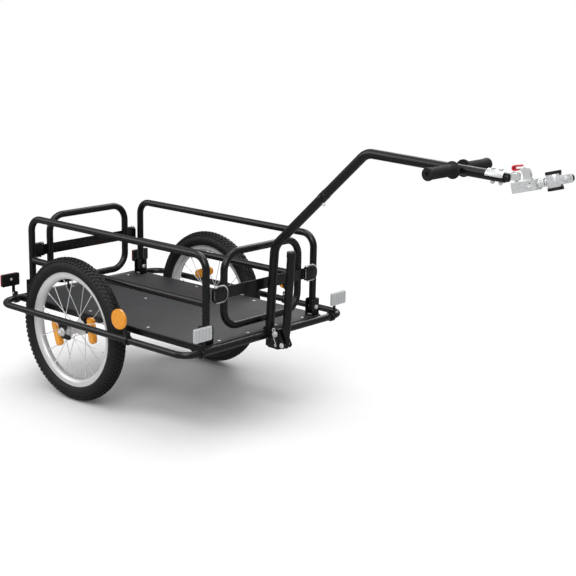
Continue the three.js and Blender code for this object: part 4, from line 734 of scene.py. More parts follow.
def makeStand():
    shape = newShape()
    s = stand
    r, foot, top = s["radius"], s["foot"], s["length"]
    rings = [(-10.8, 3, 3), (-9.6, 6, 5), (-6.6, 8.9, 6), (-3.2, 10.6, 6.4), (0, r, 6.4), (18, r, 6.6),
             (30, r, 9.2), (40, r, r), (top - s["footHeight"], r, r),
             (top - s["footHeight"] + 0.6, foot, foot), (top - 1.6, foot, foot),
             (top + 0.8, foot - 1.6, foot - 1.6), (top + 0.2, foot - 5.5, foot - 5.5)]
    addLoft(shape, rings, 32, standAt)
    finishShape(shape, "propStandLeg", [powderCoat], "stand", ["prop_stand"])


def makeStandBolt():
    shape = newShape()
    face = bracket["earInner"] + bracket["earWall"] + 0.3
    for side in (-1, 1):
        addTurned(shape, [(stand["boltHead"], face), (stand["boltHead"], face + 1)],
                  (stand["x"], 0, stand["z"]), (0, side, 0), 24)
        addHexHead(shape, (stand["x"], side * (face + 1), stand["z"]), (0, side, 0), 10, 3.2)
    addTube(shape, [(stand["x"], -face, stand["z"]), (stand["x"], face, stand["z"])], stand["bolt"], 16)
    finishShape(shape, "standBolt", [zincPlate], "frame", ["stand_bolt"])


makeBracket()
makeDrawbarPin()
makeStand()
makeStandBolt()
print("bracket and stand made")

# Drawbar, handle and end cap

drawbar = {"lower": 12, "footX": 483, "footZ": 246, "bendX": 496.5, "bendZ": 470.5, "lowerBend": 50,
           "slope": 43.15, "slant": 232, "collar": 12.8, "collarLength": 24, "upper": 12, "neckedTo": 10.5,
           "insert": 60, "topX": 786.138, "topZ": 742.012, "topBend": 48, "upperSlope": -2.1347, "endX":
           1174.075, "button": 3.5, "buttonOut": 7, "footBlock": ((496, -12.7, 207), (524, 12.7, 252)),
           "footShelf": ((471.2, -12.5, 243), (522, 12.5, 251.8)), "buttonSetback": 26, "capLength": 10,
           "capRadius": 9.5}
handle = {"x": 1048.075, "bar": 8, "half": 116, "grip": 13.8, "flange": 20.5, "inner": 20, "outer": 121,
          "hole": 5}
slantX, slantZ = math.cos(math.radians(drawbar["slope"])), math.sin(math.radians(drawbar["slope"]))
mouth = (drawbar["bendX"] + drawbar["slant"] * slantX, drawbar["bendZ"] + drawbar["slant"] * slantZ)
fall = math.tan(math.radians(drawbar["upperSlope"]))


def slantPoint(distance, off=0.0):
    return (mouth[0] + distance * slantX + off * slantZ, 0, mouth[1] + distance * slantZ - off * slantX)


def upperZ(x):
    return drawbar["topZ"] + (x - drawbar["topX"]) * fall


def makeLowerDrawbar():
    shape = newShape()
    d = drawbar
    path = bend([(d["footX"], 0, d["footZ"]), (d["bendX"], 0, d["bendZ"]), slantPoint(0)], [d["lowerBend"]],
                5)
    addTube(shape, path, d["lower"], 32, bore=d["neckedTo"] + 0.3, boreDepth=30)
    start = slantPoint(-d["collarLength"])
    axis = (slantX, 0, slantZ)
    inner = d["neckedTo"] + 0.4
    addTurned(shape,
              [(inner, 0.4), (d["collar"] - 0.8, 0.2), (d["collar"], 1), (d["collar"], 9),
               (d["collar"] - 0.7, 10.2), (d["collar"], 11.4), (d["collar"], d["collarLength"] - 1),
               (d["collar"] - 0.8, d["collarLength"]), (inner, d["collarLength"])], start, axis, 32,
              closed=True)
    addBlock(shape, *d["footBlock"], 1.6)
    addBlock(shape, *d["footShelf"], 1.6)
    finishShape(shape, "lowerDrawbarTube", [powderCoat], "frame", ["lower_drawbar"])


def makeUpperDrawbar():
    shape = newShape()
    d, h = drawbar, handle
    path = bend([slantPoint(0.3), (d["topX"], 0, d["topZ"]), (d["endX"], 0, upperZ(d["endX"]))],
                [d["topBend"]], 5)
    addTube(shape, path, d["upper"], 32)
    addTube(shape, [slantPoint(-d["insert"]), slantPoint(2)], d["neckedTo"], 32)
    z = upperZ(h["x"])
    addTube(shape, [(h["x"], -h["half"], z), (h["x"], h["half"], z)], h["bar"], 24)
    for side in (-1, 1):
        addWeld(shape, (h["x"], 0, z),
                (math.cos(math.radians(d["upperSlope"])), 0, math.sin(math.radians(d["upperSlope"]))),
                (0, side, 0), d["upper"], h["bar"])
    finishShape(shape, "upperDrawbarTube", [powderCoat], "frame", ["upper_drawbar"])


def makeButton():
    shape = newShape()
    d = drawbar
    start = slantPoint(-d["buttonSetback"], -1.4)
    reach = d["collar"] + d["buttonOut"] + 1.4
    addTurned(shape,
              [(d["button"], 0), (d["button"], reach - 2.4), (d["button"] - 0.5, reach - 1),
               (d["button"] - 1.8, reach - 0.2), (0.3, reach)], start, (slantZ, 0, -slantX), 20)
    finishShape(shape, "lengthSnapButton", [zincPlate], "button", ["length_button"])


def makeEndCap():
    shape = newShape()
    d = drawbar
    slope = math.radians(d["upperSlope"])
    r = d["capRadius"]
    addTurned(shape,
              [(r - 0.5, 0.3), (r, 0.9), (r, d["capLength"] - 3), (r - 1.2, d["capLength"] - 0.8),
               (r - 3, d["capLength"]), (r - 4, d["capLength"] - 1.5), (0.5, d["capLength"] - 1.5)],
              (d["endX"], 0, upperZ(d["endX"])), (math.cos(slope), 0, math.sin(slope)), 32)
    finishShape(shape, "drawbarEndCap", [nylonBlack], "frame", ["drawbar_end_cap"])


def makeGrip(name, side):
    shape = newShape()
    h = handle
    r = h["grip"]
    start = h["inner"]
    profile = [(h["bar"] + 0.4, start), (h["flange"] - 1.2, start), (h["flange"], start + 1.2),
               (h["flange"], start + 3.4), (h["flange"] - 1.4, start + 4.8), (r + 1.6, start + 6),
               (r, start + 9)]
    along = start + 13
    while along < h["outer"] - 20:
        profile += [(r, along), (r - 0.55, along + 0.6), (r - 0.55, along + 1.6), (r, along + 2.2)]
        along += 5.2
    end = h["outer"]
    profile += [(r, end - 14), (r + 0.4, end - 10), (r + 1.6, end - 5), (r + 1.4, end - 1.6), (r - 0.4, end),
                (h["hole"] + 0.8, end), (h["hole"], end - 0.8), (h["hole"], end - 4), (0.5, end - 4)]
    profile += [(0.5, h["half"] + 0.4), (h["bar"] + 0.4, h["half"] + 0.4)]
    addTurned(shape, profile, (h["x"], 0, upperZ(h["x"])), (0, side, 0), 36, closed=True)
    finishShape(shape, f"handGrip_{name}", [gripRubber], "frame", [f"grip_{name}"])


makeLowerDrawbar()
makeUpperDrawbar()
makeButton()
makeEndCap()
for name, side in sides.items():
    makeGrip(name, side)
print("drawbar made")

# Coupling eye and its bolts

eye = {"x": 1199.075, "z": 733.017, "outer": 11, "bore": 8, "half": 8, "neckHalf": 7, "neck": 3.5,
       "saddleStart": 1128.075, "saddleWall": 2.6, "boltX": (1141.075, 1162.075), "bolt": 3, "head": 5.5,
       "headHeight": 4, "reach": 19, "neckLift": 0.4}


def makeCouplingEye():
    shape = newShape()
    e = eye
    inner = drawbar["upper"] + 0.45
    outer = drawbar["upper"] + 0.3 + e["saddleWall"]
    start, stop = e["saddleStart"], drawbar["endX"] - 0.3
    half = [(outer * math.cos(a), outer * math.sin(a)) for a in [math.pi * k / 20 for k in range(21)]]
    half += [(inner * math.cos(a), inner * math.sin(a)) for a in [math.pi * (20 - k) / 20 for k in range(21)]]
    middle = (start + stop) / 2
    addPlate(shape, half, [], stop - start, lambda a, b, c: (middle + c, a, upperZ(middle + c) + b), edge=0.5)
    top = e["z"] + e["half"]
    neckOutline = [(stop - 12.5, -e["neckHalf"]), (e["x"] - 9, -e["neckHalf"]), (e["x"] - 9, e["neckHalf"]),
                   (stop - 12.5, e["neckHalf"])]
    addPlate(shape, neckOutline, [], e["neck"], lambda a, b, c: (a, b, top + e["neckLift"] - e["neck"] / 2 +
            c), edge=0.5)
    profile = [(e["bore"], -e["half"] + 0.6), (e["bore"] + 0.8, -e["half"]), (e["outer"] - 1, -e["half"]),
               (e["outer"], -e["half"] + 1)]
    addTurned(shape, mirrored(profile), (e["x"], 0, e["z"]), (0, 0, 1), 36, closed=True)
    finishShape(shape, "couplingEyeSaddle", [zincPlate], "frame", ["coupling_eye"])


def makeSaddleBolt(index, x):
    shape = newShape()
    e = eye
    z = upperZ(x)
    seat = drawbar["upper"] + e["saddleWall"] + 0.9
    addTube(shape, [(x, 0, z - e["reach"]), (x, 0, z + seat + 1)], e["bolt"], 16)
    addDome(shape, (x, 0, z + seat), (0, 0, 1), e["head"], e["headHeight"] - 0.5)
    addHexHead(shape, (x, 0, z - drawbar["upper"] - 0.6), (0, 0, -1), 9.4, e["headHeight"])
    finishShape(shape, f"saddleBolt_{index}", [zincPlate], "frame", [f"saddle_bolt_{index}"])


makeCouplingEye()
for index, x in enumerate(eye["boltX"], 1):
    makeSaddleBolt(index, x)
print("coupling eye made")

# Seatpost hitch, in its own axes: a forward, b left, c up from the ball's centre

hitchTilt = math.radians(15)
channel = {"top": -12.5, "rear": -9, "front": 53, "half": 12, "depth": 24, "wall": 3, "slotFrom": 27,
           "slotTo": 47, "slotHalf": 5.8, "pivotA": 34, "pivotC": -28, "pinHead": 4.5}
hook = {"inner": 15, "outer": 21, "forward": 6, "shift": 12, "half": 5.5, "start": -38, "end": 58, "stem":
        6, "tang": 10, "grip": 17}
swivel = {"level": -23, "bolt": 4, "headHeight": 5, "flats": 11.8, "headAt": 49.7, "from": 48.9, "to": 77.4}
ball = {"radius": 7.5, "neck": 3.5, "neckTop": -7.6, "neckEnd": -16.1, "foot": 7, "footEnd": -19.1}
spring = {"radius": 8.6, "wire": 1.4, "curls": 4, "from": 53.3, "to": 73.7}
clamp = {"a": 93, "outer": 17, "inner": 15, "height": 28, "bossRadius": 9.5, "bossStart": 74, "ear": 24,
         "earWall": 3.2, "earGap": 4, "earHeight": 20, "setback": 9}
bush = {"bore": 12.7, "flange": 17.5, "wall": 6.5}
clampBolt = {"radius": 3, "nut": 6.5, "nutHeight": 5, "knob": 9.5}


def hitchAt(a, b, c):
    cosine, sine = math.cos(hitchTilt), math.sin(hitchTilt)
    return at(eye["x"] + a * cosine - c * sine, b, eye["z"] + a * sine + c * cosine)


def makePost():
    shape = newShape()
    b = ball
    turns = [math.radians(t) for t in range(15, 150, 12)]
    profile = [(0.3, b["radius"])] + [(b["radius"] * math.sin(t), b["radius"] * math.cos(t)) for t in turns]
    profile += [(b["neck"], b["neckTop"]), (b["neck"], b["neckEnd"]), (b["foot"], b["neckEnd"]),
                (b["foot"], b["footEnd"]), (0.3, b["footEnd"])]
    addTurned(shape, profile[::-1], (0, 0, 0), (0, 0, 1), 28, hitchAt)
    finishShape(shape, "couplingBallPost", [zincPlate], "post", ["coupling_post"])


def makeChannel():
    shape = newShape()
    c = channel
    bottom = c["top"] - c["depth"]
    topHole = arc(0, 0, 4, 360, 18, 18)
    slot = roundedOutline(c["slotFrom"], -c["slotHalf"], c["slotTo"], c["slotHalf"], 2, 4)
    outline = roundedOutline(c["rear"], -c["half"] + 0.4, c["front"], c["half"] - 0.4, 1, 3)
    addPlate(shape, outline, [topHole, slot[::-1]], c["wall"], lambda a, b, d: (a, b, c["top"] - c["wall"] /
            2 + d), hitchAt)
    cheek = [(c["rear"], c["top"] - 0.4), (c["rear"], bottom)] + [(c["front"], bottom),
            (c["front"], c["top"] - 0.4)]
    smallHole = arc(38.7, -19.7, 2, 360, 20, 16)
    for side in (-1, 1):
        y = side * (c["half"] - c["wall"] / 2)
        addPlate(shape, cheek, [smallHole], c["wall"], lambda a, b, d, y=y: (a, y + d, b), hitchAt, 0.6)
        addTurned(shape, [(c["pinHead"], 0), (c["pinHead"], 0.9), (c["pinHead"] - 1.2, 1.8), (0.3, 2)],
                  (c["pivotA"], side * c["half"], c["pivotC"]), (0, side, 0), 24, hitchAt)
    addTube(shape, [(c["pivotA"], -c["half"], c["pivotC"]), (c["pivotA"], c["half"], c["pivotC"])], 3, 16,
            hitchAt)
    front = roundedOutline(-c["half"] + 0.4, bottom, c["half"] - 0.4, c["top"] - 0.4, 1, 3)
    boltHole = arc(0, swivel["level"], 4.5, 360, 20, 18)
    addPlate(shape, front, [boltHole], c["wall"], lambda a, b, d: (c["front"] - c["wall"] / 2 + d, a, b),
             hitchAt, 0.6)
    finishShape(shape, "hitchChannel", [zincPlate], "hitch", ["hitch_channel"])


def hookTip():
    end = math.radians(hook["end"])
    return hook["forward"] + hook["inner"] * math.cos(end), hook["inner"] * math.sin(end)


def makeLever():
    shape = newShape()
    h, c = hook, channel
    outline = (arc(h["forward"] + h["shift"], 0, h["outer"], h["start"], h["end"], 28)
               + arc(h["forward"], 0, h["inner"], h["end"], h["start"], 28))
    addPlate(shape, outline, [], 2 * h["half"], lambda a, b, d: (a, d, b), hitchAt, 1.2)
    stem = [(c["pivotA"] - h["stem"], -9.5)] + arc(c["pivotA"], c["pivotC"], h["stem"], 180, 360, 14)
    stem += [(c["pivotA"] + h["stem"], -9.5)]
    addPlate(shape, stem, [arc(c["pivotA"], c["pivotC"], 3.3, 360, 20, 16)], 2 * h["half"] - 0.2, lambda a,
             b, d: (a, d, b), hitchAt, 0.8)
    tipA, tipC = hookTip()
    addBlock(shape, (tipA - h["tang"], -2.5, tipC + 0.5), (tipA + 8, 2.5, tipC + 2.8), 0.8, hitchAt)
    finishShape(shape, "latchHookLever", [zincPlate], "lever", ["latch_lever"])


def makeLeverGrip():
    shape = newShape()
    h = hook
    tipA, tipC = hookTip()
    tipC -= 1
    front, rear = tipA - 0.3, tipA - 0.3 - h["grip"]
    curl = (rear + 6.5, tipC + 6.5)  # the tip is a strap curled back under itself as a thumb tab
    outline = arc(*curl, 6.5, 90, 270, 14) + [(front - 1, tipC), (front, tipC + 1), (front, tipC + 3)]
    outline += [(front - 1, tipC + 4)] + arc(*curl, 2.4, 270, 90, 10) + [(front + 0.5, tipC + 8.2),
            (front + 5.5, tipC + 7.2), (front + 7, tipC + 8.2)]
    outline += [(front + 6, tipC + 10.6), (front + 1, tipC + 12.7), (front - 3, tipC + 13)]
    addPlate(shape, outline, [], 15, lambda a, b, d: (a, d, b), hitchAt, 1.2)
    finishShape(shape, "leverTipDip", [vinylRed], "lever", ["lever_grip"], 50)


def makeSwivelBolt():
    shape = newShape()
    s = swivel
    addHexHead(shape, (s["headAt"], 0, s["level"]), (-1, 0, 0), s["flats"], s["headHeight"], hitchAt)
    addTube(shape, [(s["from"], 0, s["level"]), (s["to"], 0, s["level"])], s["bolt"], 20, hitchAt)
    finishShape(shape, "swivelBolt", [zincPlate], "clamp", ["swivel_bolt"])


def makeSpring():
    shape = newShape()
    s = spring
    lead = 2 * s["wire"]
    start, stop = s["from"] + lead, s["to"] - lead
    path = [(s["from"], s["radius"], swivel["level"]), (s["from"] + lead * 0.7, s["radius"], swivel["level"])]
    steps = s["curls"] * 28
    for k in range(steps + 1):
        angle = 2 * math.pi * k / 28
        path.append((start + (stop - start) * k / steps, s["radius"] * math.cos(angle),
                     swivel["level"] + s["radius"] * math.sin(angle)))
    path += [(s["to"] - lead * 0.7, s["radius"], swivel["level"]), (s["to"], s["radius"], swivel["level"])]
    addTube(shape, path, s["wire"], 12, hitchAt, edge=0.2)
    finishShape(shape, "hitchSpringWire", [spokeWire], "hitch", ["hitch_spring"])


def makeClamp():
    shape = newShape()
    c = clamp
    level = swivel["level"]
    slit = math.degrees(math.asin(c["earGap"] / c["inner"]))
    band = arc(0, 0, c["outer"], slit, 360 - slit, 48) + arc(0, 0, c["inner"], 360 - slit, slit, 48)
    addPlate(shape, band, [], c["height"], lambda a, b, d: (c["a"] + a, b, level + d), hitchAt, 0.5)
    for side in (-1, 1):
        end = c["outer"] + c["ear"]
        outline = ([(13.5, -c["earHeight"] / 2), (end - 5, -c["earHeight"] / 2)] + arc(end - 5, -5, 5, -90,
                0, 6) + arc(end - 5, 5, 5, 0, 90, 6) + [(13.5, c["earHeight"] / 2)])
        hole = arc(end - c["setback"], 0, 3.4, 360, 20, 16)
        y = side * (c["earGap"] + c["earWall"] / 2)
        addPlate(shape, outline, [hole], c["earWall"], lambda a, b, d, y=y: (c["a"] + a, y + d, level + b),
                 hitchAt, 0.5)
    addTurned(shape,
              [(4.4, 0.5), (c["bossRadius"] - 0.8, 0), (c["bossRadius"], 0.8), (c["bossRadius"], 3.5),
               (4.4, 3.5)], (c["bossStart"], 0, level), (1, 0, 0), 28, hitchAt, closed=True)
    finishShape(shape, "seatpostClampBand", [zincPlate], "clamp", ["seatpost_clamp"])


def makeBush():
    shape = newShape()
    b, c = bush, clamp
    sleeve = c["inner"] * math.cos(math.pi / 14) - 0.3
    low = c["height"] / 2 + 0.3
    high = low + b["wall"]
    profile = [(b["bore"], -high), (b["flange"] - 0.8, -high), (b["flange"], -high + 0.8),
               (b["flange"], -low - 0.4), (b["flange"] - 0.4, -low), (sleeve, -low)]
    addTurned(shape, mirrored(profile), (c["a"], 0, swivel["level"]), (0, 0, 1), 40, hitchAt, closed=True)
    finishShape(shape, "seatpostBush", [gripRubber], "clamp", ["clamp_bush"])


def makeClampBolt():
    shape = newShape()
    c, b = clamp, clampBolt
    a = c["a"] + c["outer"] + c["ear"] - c["setback"]
    face = c["earGap"] + c["earWall"] + 0.3
    addTube(shape, [(a, -face - 5.5, swivel["level"]), (a, face + 1, swivel["level"])], b["radius"], 16,
            hitchAt)
    addHexHead(shape, (a, -face, swivel["level"]), (0, -1, 0), b["nut"] * 1.7, b["nutHeight"] - 0.5, hitchAt)
    shape["finish"] = 1
    knob = [(b["knob"] - 1, face), (b["knob"], face + 1), (b["knob"], face + 6),
            (b["knob"] - 1.4, face + 7.6), (b["knob"] - 5, face + 7.9), (0.4, face + 7.2)]
    addTurned(shape, knob, (a, 0, swivel["level"]), (0, 1, 0), 28, hitchAt)
    finishShape(shape, "clampBoltAndKnob", [zincPlate, nylonBlack], "clamp", ["clamp_bolt"])


for make in (makePost, makeChannel, makeLever, makeLeverGrip, makeSwivelBolt, makeSpring, makeClamp,
             makeBush, makeClampBolt):
    make()
print("hitch made")

# Wheels

tyre = {"carcass": 196.6, "half": 23, "wall": 4, "segments": 128, "pitch": 90, "knobHeight": 3.4}
rim = {"outer": 160, "half": 12.5, "depth": 20, "lip": 8, "lipWall": 2, "bedDrop": 3, "segments": 96}
hub = {"half": 35.7, "barrel": 13, "flange": 22, "flangeHalf": 24, "flangeWall": 3, "end": 9, "bore": 5.6,
       "spokes": 20, "spoke": 1.0, "crossing": 42, "nipple": 1.9, "nippleLength": 11,
       "spokeRoot": 19, "overFlange": 24.9, "underFlange": 21.2, "inFlange": 22.5, "spokeTip": 139}
axle = {"radius": 5, "nut": 14.7, "nutLength": 8, "washer": 12, "washerWall": 2, "plate": 41.3, "tail": 3}
wheelPlace = {"y": 263, "z": 200}
reflectorTurns = {"right": (8, 199), "left": (110, 290)}
spokeReflector = {"length": 72, "height": 25, "width": 14, "orbit": 76}


def wheelAt(side):
    return lambda a, b, c: at(a, side * wheelPlace["y"] + b, wheelPlace["z"] + c)


def makeTyre(name, side):
    shape = newShape()
    t = tyre
    place = wheelAt(side)
    half = t["half"] - 0.8
    crown = t["carcass"] - half
    profile = []
    for k in range(33):
        angle = math.radians(-128 + 256 * k / 32)
        ripple = 0.35 if k in (4, 6, 26, 28) else 0.0
        profile.append((crown + (half + ripple) * math.cos(angle), (half + ripple) * math.sin(angle)))
    bead = 8.3
    profile += [(160.6, bead + 1.4), (158, bead + 0.4), (152.8, bead), (152.8, bead - 4)]
    for k in range(9):
        angle = math.radians(128 - 256 * k / 8)
        profile.append((crown + (half - t["wall"]) * math.cos(angle), (half - t["wall"]) * math.sin(angle)))
    profile += [(152.8, -bead + 4), (152.8, -bead), (158, -bead - 0.4), (160.6, -bead - 1.4)]
    addTurned(shape, profile, (0, 0, 0), (0, 1, 0), t["segments"], place, closed=True)
    # Tread: five staggered rows of tapered knobs standing on the carcass
    rows = [(0, 0.0, 6.2, 9.0), (1, 23.0, 6.4, 8.6), (-1, 23.0, 6.4, 8.6), (1, 45.0, 6.0, 9.4),
            (-1, 45.0, 6.0, 9.4)]
    pitchAngle = 2 * math.pi / t["pitch"]
    for index, (flip, tilt, width, length) in enumerate(rows):
        across = math.radians((flip or 1) * tilt)
        for k in range(t["pitch"]):
            turn = pitchAngle * (k + 0.5 * (index in (1, 2)))
            skew = 0.22 * (1 if k % 2 else -1) if index == 0 else 0.14 * (flip or 1)
            vertices = []
            for depth, shrink in ((-1.6, 1.0), (t["knobHeight"], 0.84)):
                for du, dv in ((-1, -1), (1, -1), (1, 1), (-1, 1)):
                    u = du * width / 2 * shrink
                    v = dv * length / 2 * shrink + u * skew
                    away = half + depth
                    direction = across + u / half
                    radial = crown + away * math.cos(direction)
                    angle = turn + v / t["carcass"]
                    vertices.append(place(radial * math.cos(angle), away * math.sin(direction), radial *
                                          math.sin(angle)))
            addMesh(shape, vertices,
                    [[0, 1, 2, 3], [7, 6, 5, 4], [0, 4, 5, 1], [1, 5, 6, 2], [2, 6, 7, 3], [3, 7, 4, 0]])
    finishShape(shape, f"treadedTyre_{name}", [tyreRubber], f"wheel_{name}", [f"tyre_{name}"])


def makeRim(name, side):
    shape = newShape()
    r = rim
    place = wheelAt(side)
    bed, inner, half = r["outer"] - r["lip"], r["outer"] - r["depth"], r["half"]
    profile = [(r["outer"] - 0.5, half - r["lipWall"]), (r["outer"], half - 1.4), (r["outer"], half - 0.4),
               (r["outer"] - 0.6, half), (r["outer"] - 3, half), (r["outer"] - 3.6, half - 0.3),
               (r["outer"] - 11, half - 0.3), (inner + r["lip"], half), (inner + 6.6, half - 0.6),
               (inner + 1, half / 2 + 1), (inner, half / 2 - 1)]
    profile = mirrored(profile) + [(bed, -half + 2 * r["lipWall"]), (bed - r["bedDrop"], 0),
                                   (bed, half - 2 * r["lipWall"])]
    addTurned(shape, profile, (0, 0, 0), (0, 1, 0), r["segments"], place, closed=True)
    shape["finish"] = 1
    valve = math.radians(99.3)
    across = (math.cos(valve), 0, math.sin(valve))
    start = (inner * math.cos(valve) * 0.999, 0, inner * math.sin(valve) * 0.999)
    back = tuple(-v for v in across)
    addTurned(shape, [(3.6, 0), (3.2, 3), (3, 8), (3, 15), (4.2, 15.4), (4.2, 26), (3.4, 28), (0.4, 28.4)],
              start, back, 18, place)
    finishShape(shape, f"wheelRim_{name}", [rimAlloy, nylonBlack], f"wheel_{name}", [f"rim_{name}"])


def makeHub(name, side):
    shape = newShape()
    h = hub
    place = wheelAt(side)
    inward = h["flangeHalf"] - h["flangeWall"]
    right = [(h["bore"], h["half"]), (h["end"] - 0.6, h["half"]), (h["end"], h["half"] - 0.6),
             (h["end"], h["flangeHalf"] + 2), (h["end"] + 2, h["flangeHalf"] + 0.3),
             (h["flange"] - 1, h["flangeHalf"]), (h["flange"], h["flangeHalf"] - 0.8),
             (h["flange"], inward + 0.8), (h["flange"] - 1, inward), (h["barrel"] + 2.6, inward - 1),
             (h["barrel"], inward - 4)]
    addTurned(shape, mirrored(right), (0, 0, 0), (0, 1, 0), 48, place, closed=True)
    shape["finish"] = 1
    rootRadius, tip = h["spokeRoot"], h["spokeTip"]
    for k in range(h["spokes"]):
        flangeSide = 1 if k % 2 == 0 else -1
        lean = 1 if k % 4 < 2 else -1
        tipAngle = 2 * math.pi * k / h["spokes"]
        rootAngle = tipAngle + lean * math.radians(h["crossing"])
        outer = h["overFlange"] if lean > 0 else h["underFlange"]
        rootX, rootZ = rootRadius * math.cos(rootAngle), rootRadius * math.sin(rootAngle)
        root = Vector((rootX, flangeSide * outer, rootZ))
        seat = Vector((rootX, flangeSide * h["inFlange"], rootZ))
        end = Vector((tip * math.cos(tipAngle), flangeSide * 2, tip * math.sin(tipAngle)))
        line = (end - root).normalized()
        addTube(shape, bend([tuple(seat), tuple(root), tuple(end)], [1.2], 30), h["spoke"], 10, place,
                edge=0.1)
        nippleStart = end - line * h["nippleLength"]
        addTurned(shape,
                  [(1.1, 0), (h["nipple"], 0.8), (h["nipple"], h["nippleLength"] - 0.5),
                   (h["nipple"] + 0.7, h["nippleLength"])], tuple(nippleStart), tuple(line), 10, place)
    finishShape(shape, f"hubWithSpokes_{name}", [rimAlloy, spokeWire], f"wheel_{name}", [f"hub_{name}"])


def makeAxle(name, side):
    shape = newShape()
    a = axle
    place = wheelAt(side)
    end = a["plate"] + a["washerWall"] + a["nutLength"] + a["tail"]
    thread = [(a["radius"] - 1, -end)]
    along = -end + 0.8
    while along < -a["plate"] + 1:
        thread += [(a["radius"], along), (a["radius"] - 0.45, along + 0.5)]
        along += 1.0
    addTurned(shape, mirrored(thread), (0, 0, 0), (0, 1, 0), 24, place)
    for face in (-1, 1):
        addTurned(shape,
                  [(a["washer"] - 0.3, a["plate"]), (a["washer"], a["plate"] + 0.3),
                   (a["washer"], a["plate"] + 1.6), (a["washer"] - 0.4, a["plate"] + 2)], (0, 0, 0),
                  (0, face, 0), 32, place)
        addHexHead(shape, (0, face * (a["plate"] + 2), 0), (0, face, 0), a["nut"], a["nutLength"], place, 1.1)
    finishShape(shape, f"threadedAxle_{name}", [zincPlate], "frame", [f"axle_{name}"])


def makeSpokeReflector(name, side, mark, turn):
    shape = newShape()
    s = spokeReflector
    cosine, sine = math.cos(math.radians(turn)), math.sin(math.radians(turn))
    onWheel = wheelAt(side)

    def place(radial, across, along):
        return onWheel((s["orbit"] + radial) * cosine - along * sine, across, (s["orbit"] + radial) * sine +
                       along * cosine)

    outline = roundedOutline(-s["height"] / 2, -s["length"] / 2, s["height"] / 2, s["length"] / 2, 11, 8)
    addPlate(shape, outline, [], s["width"] - 3, lambda a, b, c: (a, c, b), place, 1.5)
    inner = roundedOutline(-s["height"] / 2 + 4, -s["length"] / 2 + 4, s["height"] / 2 - 4, s["length"] / 2
                           - 4, 7.5, 8)
    for face in (-1, 1):
        addPlate(shape, inner, [], 2.4, lambda a, b, c: (a, face * (s["width"] / 2 - 1.2) + c, b), place, 0.6)
        for k in range(-5, 6):
            addTube(shape,
                    [(-6.5, face * (s["width"] / 2 - 0.7), k * 5.2),
                     (6.5, face * (s["width"] / 2 - 0.7), k * 5.2)], 0.65, 6, place, edge=0.2)
    finishShape(shape, f"spokeReflector_{name}_{mark}", [amberLens], f"wheel_{name}",
                [f"spoke_reflector_{name}_{mark}"])


for name, side in sides.items():
    makeTyre(name, side)
    makeRim(name, side)
    makeHub(name, side)
    makeAxle(name, side)
    for mark, turn in zip(("a", "b"), reflectorTurns[name]):
        makeSpokeReflector(name, side, mark, turn)
print("wheels made")

# Reflectors on clamp rings

sideReflector = {"x": 250, "z": 287, "radius": 27, "back": 315, "depth": 7, "clampX": 267, "sectors": 6}
endReflector = {"width": 60, "height": 36, "depth": 8, "z": 285, "frontX": 499, "frontY": 264,
                "frontClampY": 254, "rearX": -300, "rearY": 250, "rearClampY": 243.3, "corner": 4}
ring = {"wall": 3.5, "half": 6}


def reflectorOutline(y, inset, corner):
    halfWidth, halfHeight = endReflector["width"] / 2 - inset, endReflector["height"] / 2 - inset
    z = endReflector["z"]
    return roundedOutline(y - halfWidth, z - halfHeight, y + halfWidth, z + halfHeight, corner)


def addRing(shape, centre, axis, tubeRadius, place=at):
    inner, outer = tubeRadius + 0.4, tubeRadius + 0.3 + ring["wall"]
    profile = [(inner, -ring["half"]), (outer - 0.8, -ring["half"]), (outer, -ring["half"] + 0.8)]
    addTurned(shape, mirrored(profile), centre, axis, 36, place, closed=True)


def makeSideReflector(name, side):
    shape = newShape()
    s = sideReflector
    profile = [(s["radius"] - 0.6, 0), (s["radius"], 0.8), (s["radius"], s["depth"] - 1.4),
               (s["radius"] - 0.9, s["depth"]), (s["radius"] - 2.2, s["depth"]),
               (s["radius"] - 3, s["depth"] - 1.3), (1, s["depth"] - 1.3)]
    addTurned(shape, profile, (s["x"], side * s["back"], s["z"]), (0, side, 0), 48)
    for k in range(s["sectors"]):
        start = 360 / s["sectors"] * k + 2.5
        wedge = [(2.2 * math.cos(math.radians(start + 27)), 2.2 * math.sin(math.radians(start + 27)))]
        wedge += arc(0, 0, s["radius"] - 3.6, start, start + 360 / s["sectors"] - 5, 8)
        addPlate(shape, wedge, [], 1.6, lambda a, b, c: (s["x"] + a, side * (s["back"] + s["depth"] - 1.1) +
                c, s["z"] + b), edge=0.35)
    finishShape(shape, f"sideReflectorDisc_{name}", [amberLens], f"side_reflector_{name}",
                [f"side_reflector_{name}"])


def makeSideClamp(name, side):
    shape = newShape()
    s = sideReflector
    y = side * guard["y"]
    addRing(shape, (s["clampX"], y, base["level"]), (1, 0, 0), guard["radius"])
    outline = [(s["clampX"] - 6, 243.3), (s["clampX"] + 6, 243.3), (s["clampX"] + 6, 258),
               (s["x"] + 12, s["z"] - 6), (s["x"] + 7, s["z"]), (s["x"] - 5, s["z"]),
               (s["x"] - 5, s["z"] - 9), (s["x"] + 5, s["z"] - 24), (s["clampX"] - 6, 254)]
    addPlate(shape, outline, [], 3.6, lambda a, b, c: (a, y + side * 6.9 + c, b), edge=0.6)
    addBlock(shape, (s["clampX"] - 6, y - 6, 242), (s["clampX"] + 6, y + 6, 255), 1.2)
    shape["finish"] = 1
    addTurned(shape, mirrored([(3.2, -7.2), (3.2, -6.2), (1.8, -6.2)]), (s["clampX"], y, 249), (0, 1, 0), 14)
    finishShape(shape, f"sideReflectorClamp_{name}", [nylonBlack, zincPlate], f"side_reflector_{name}",
                [f"side_clamp_{name}"])


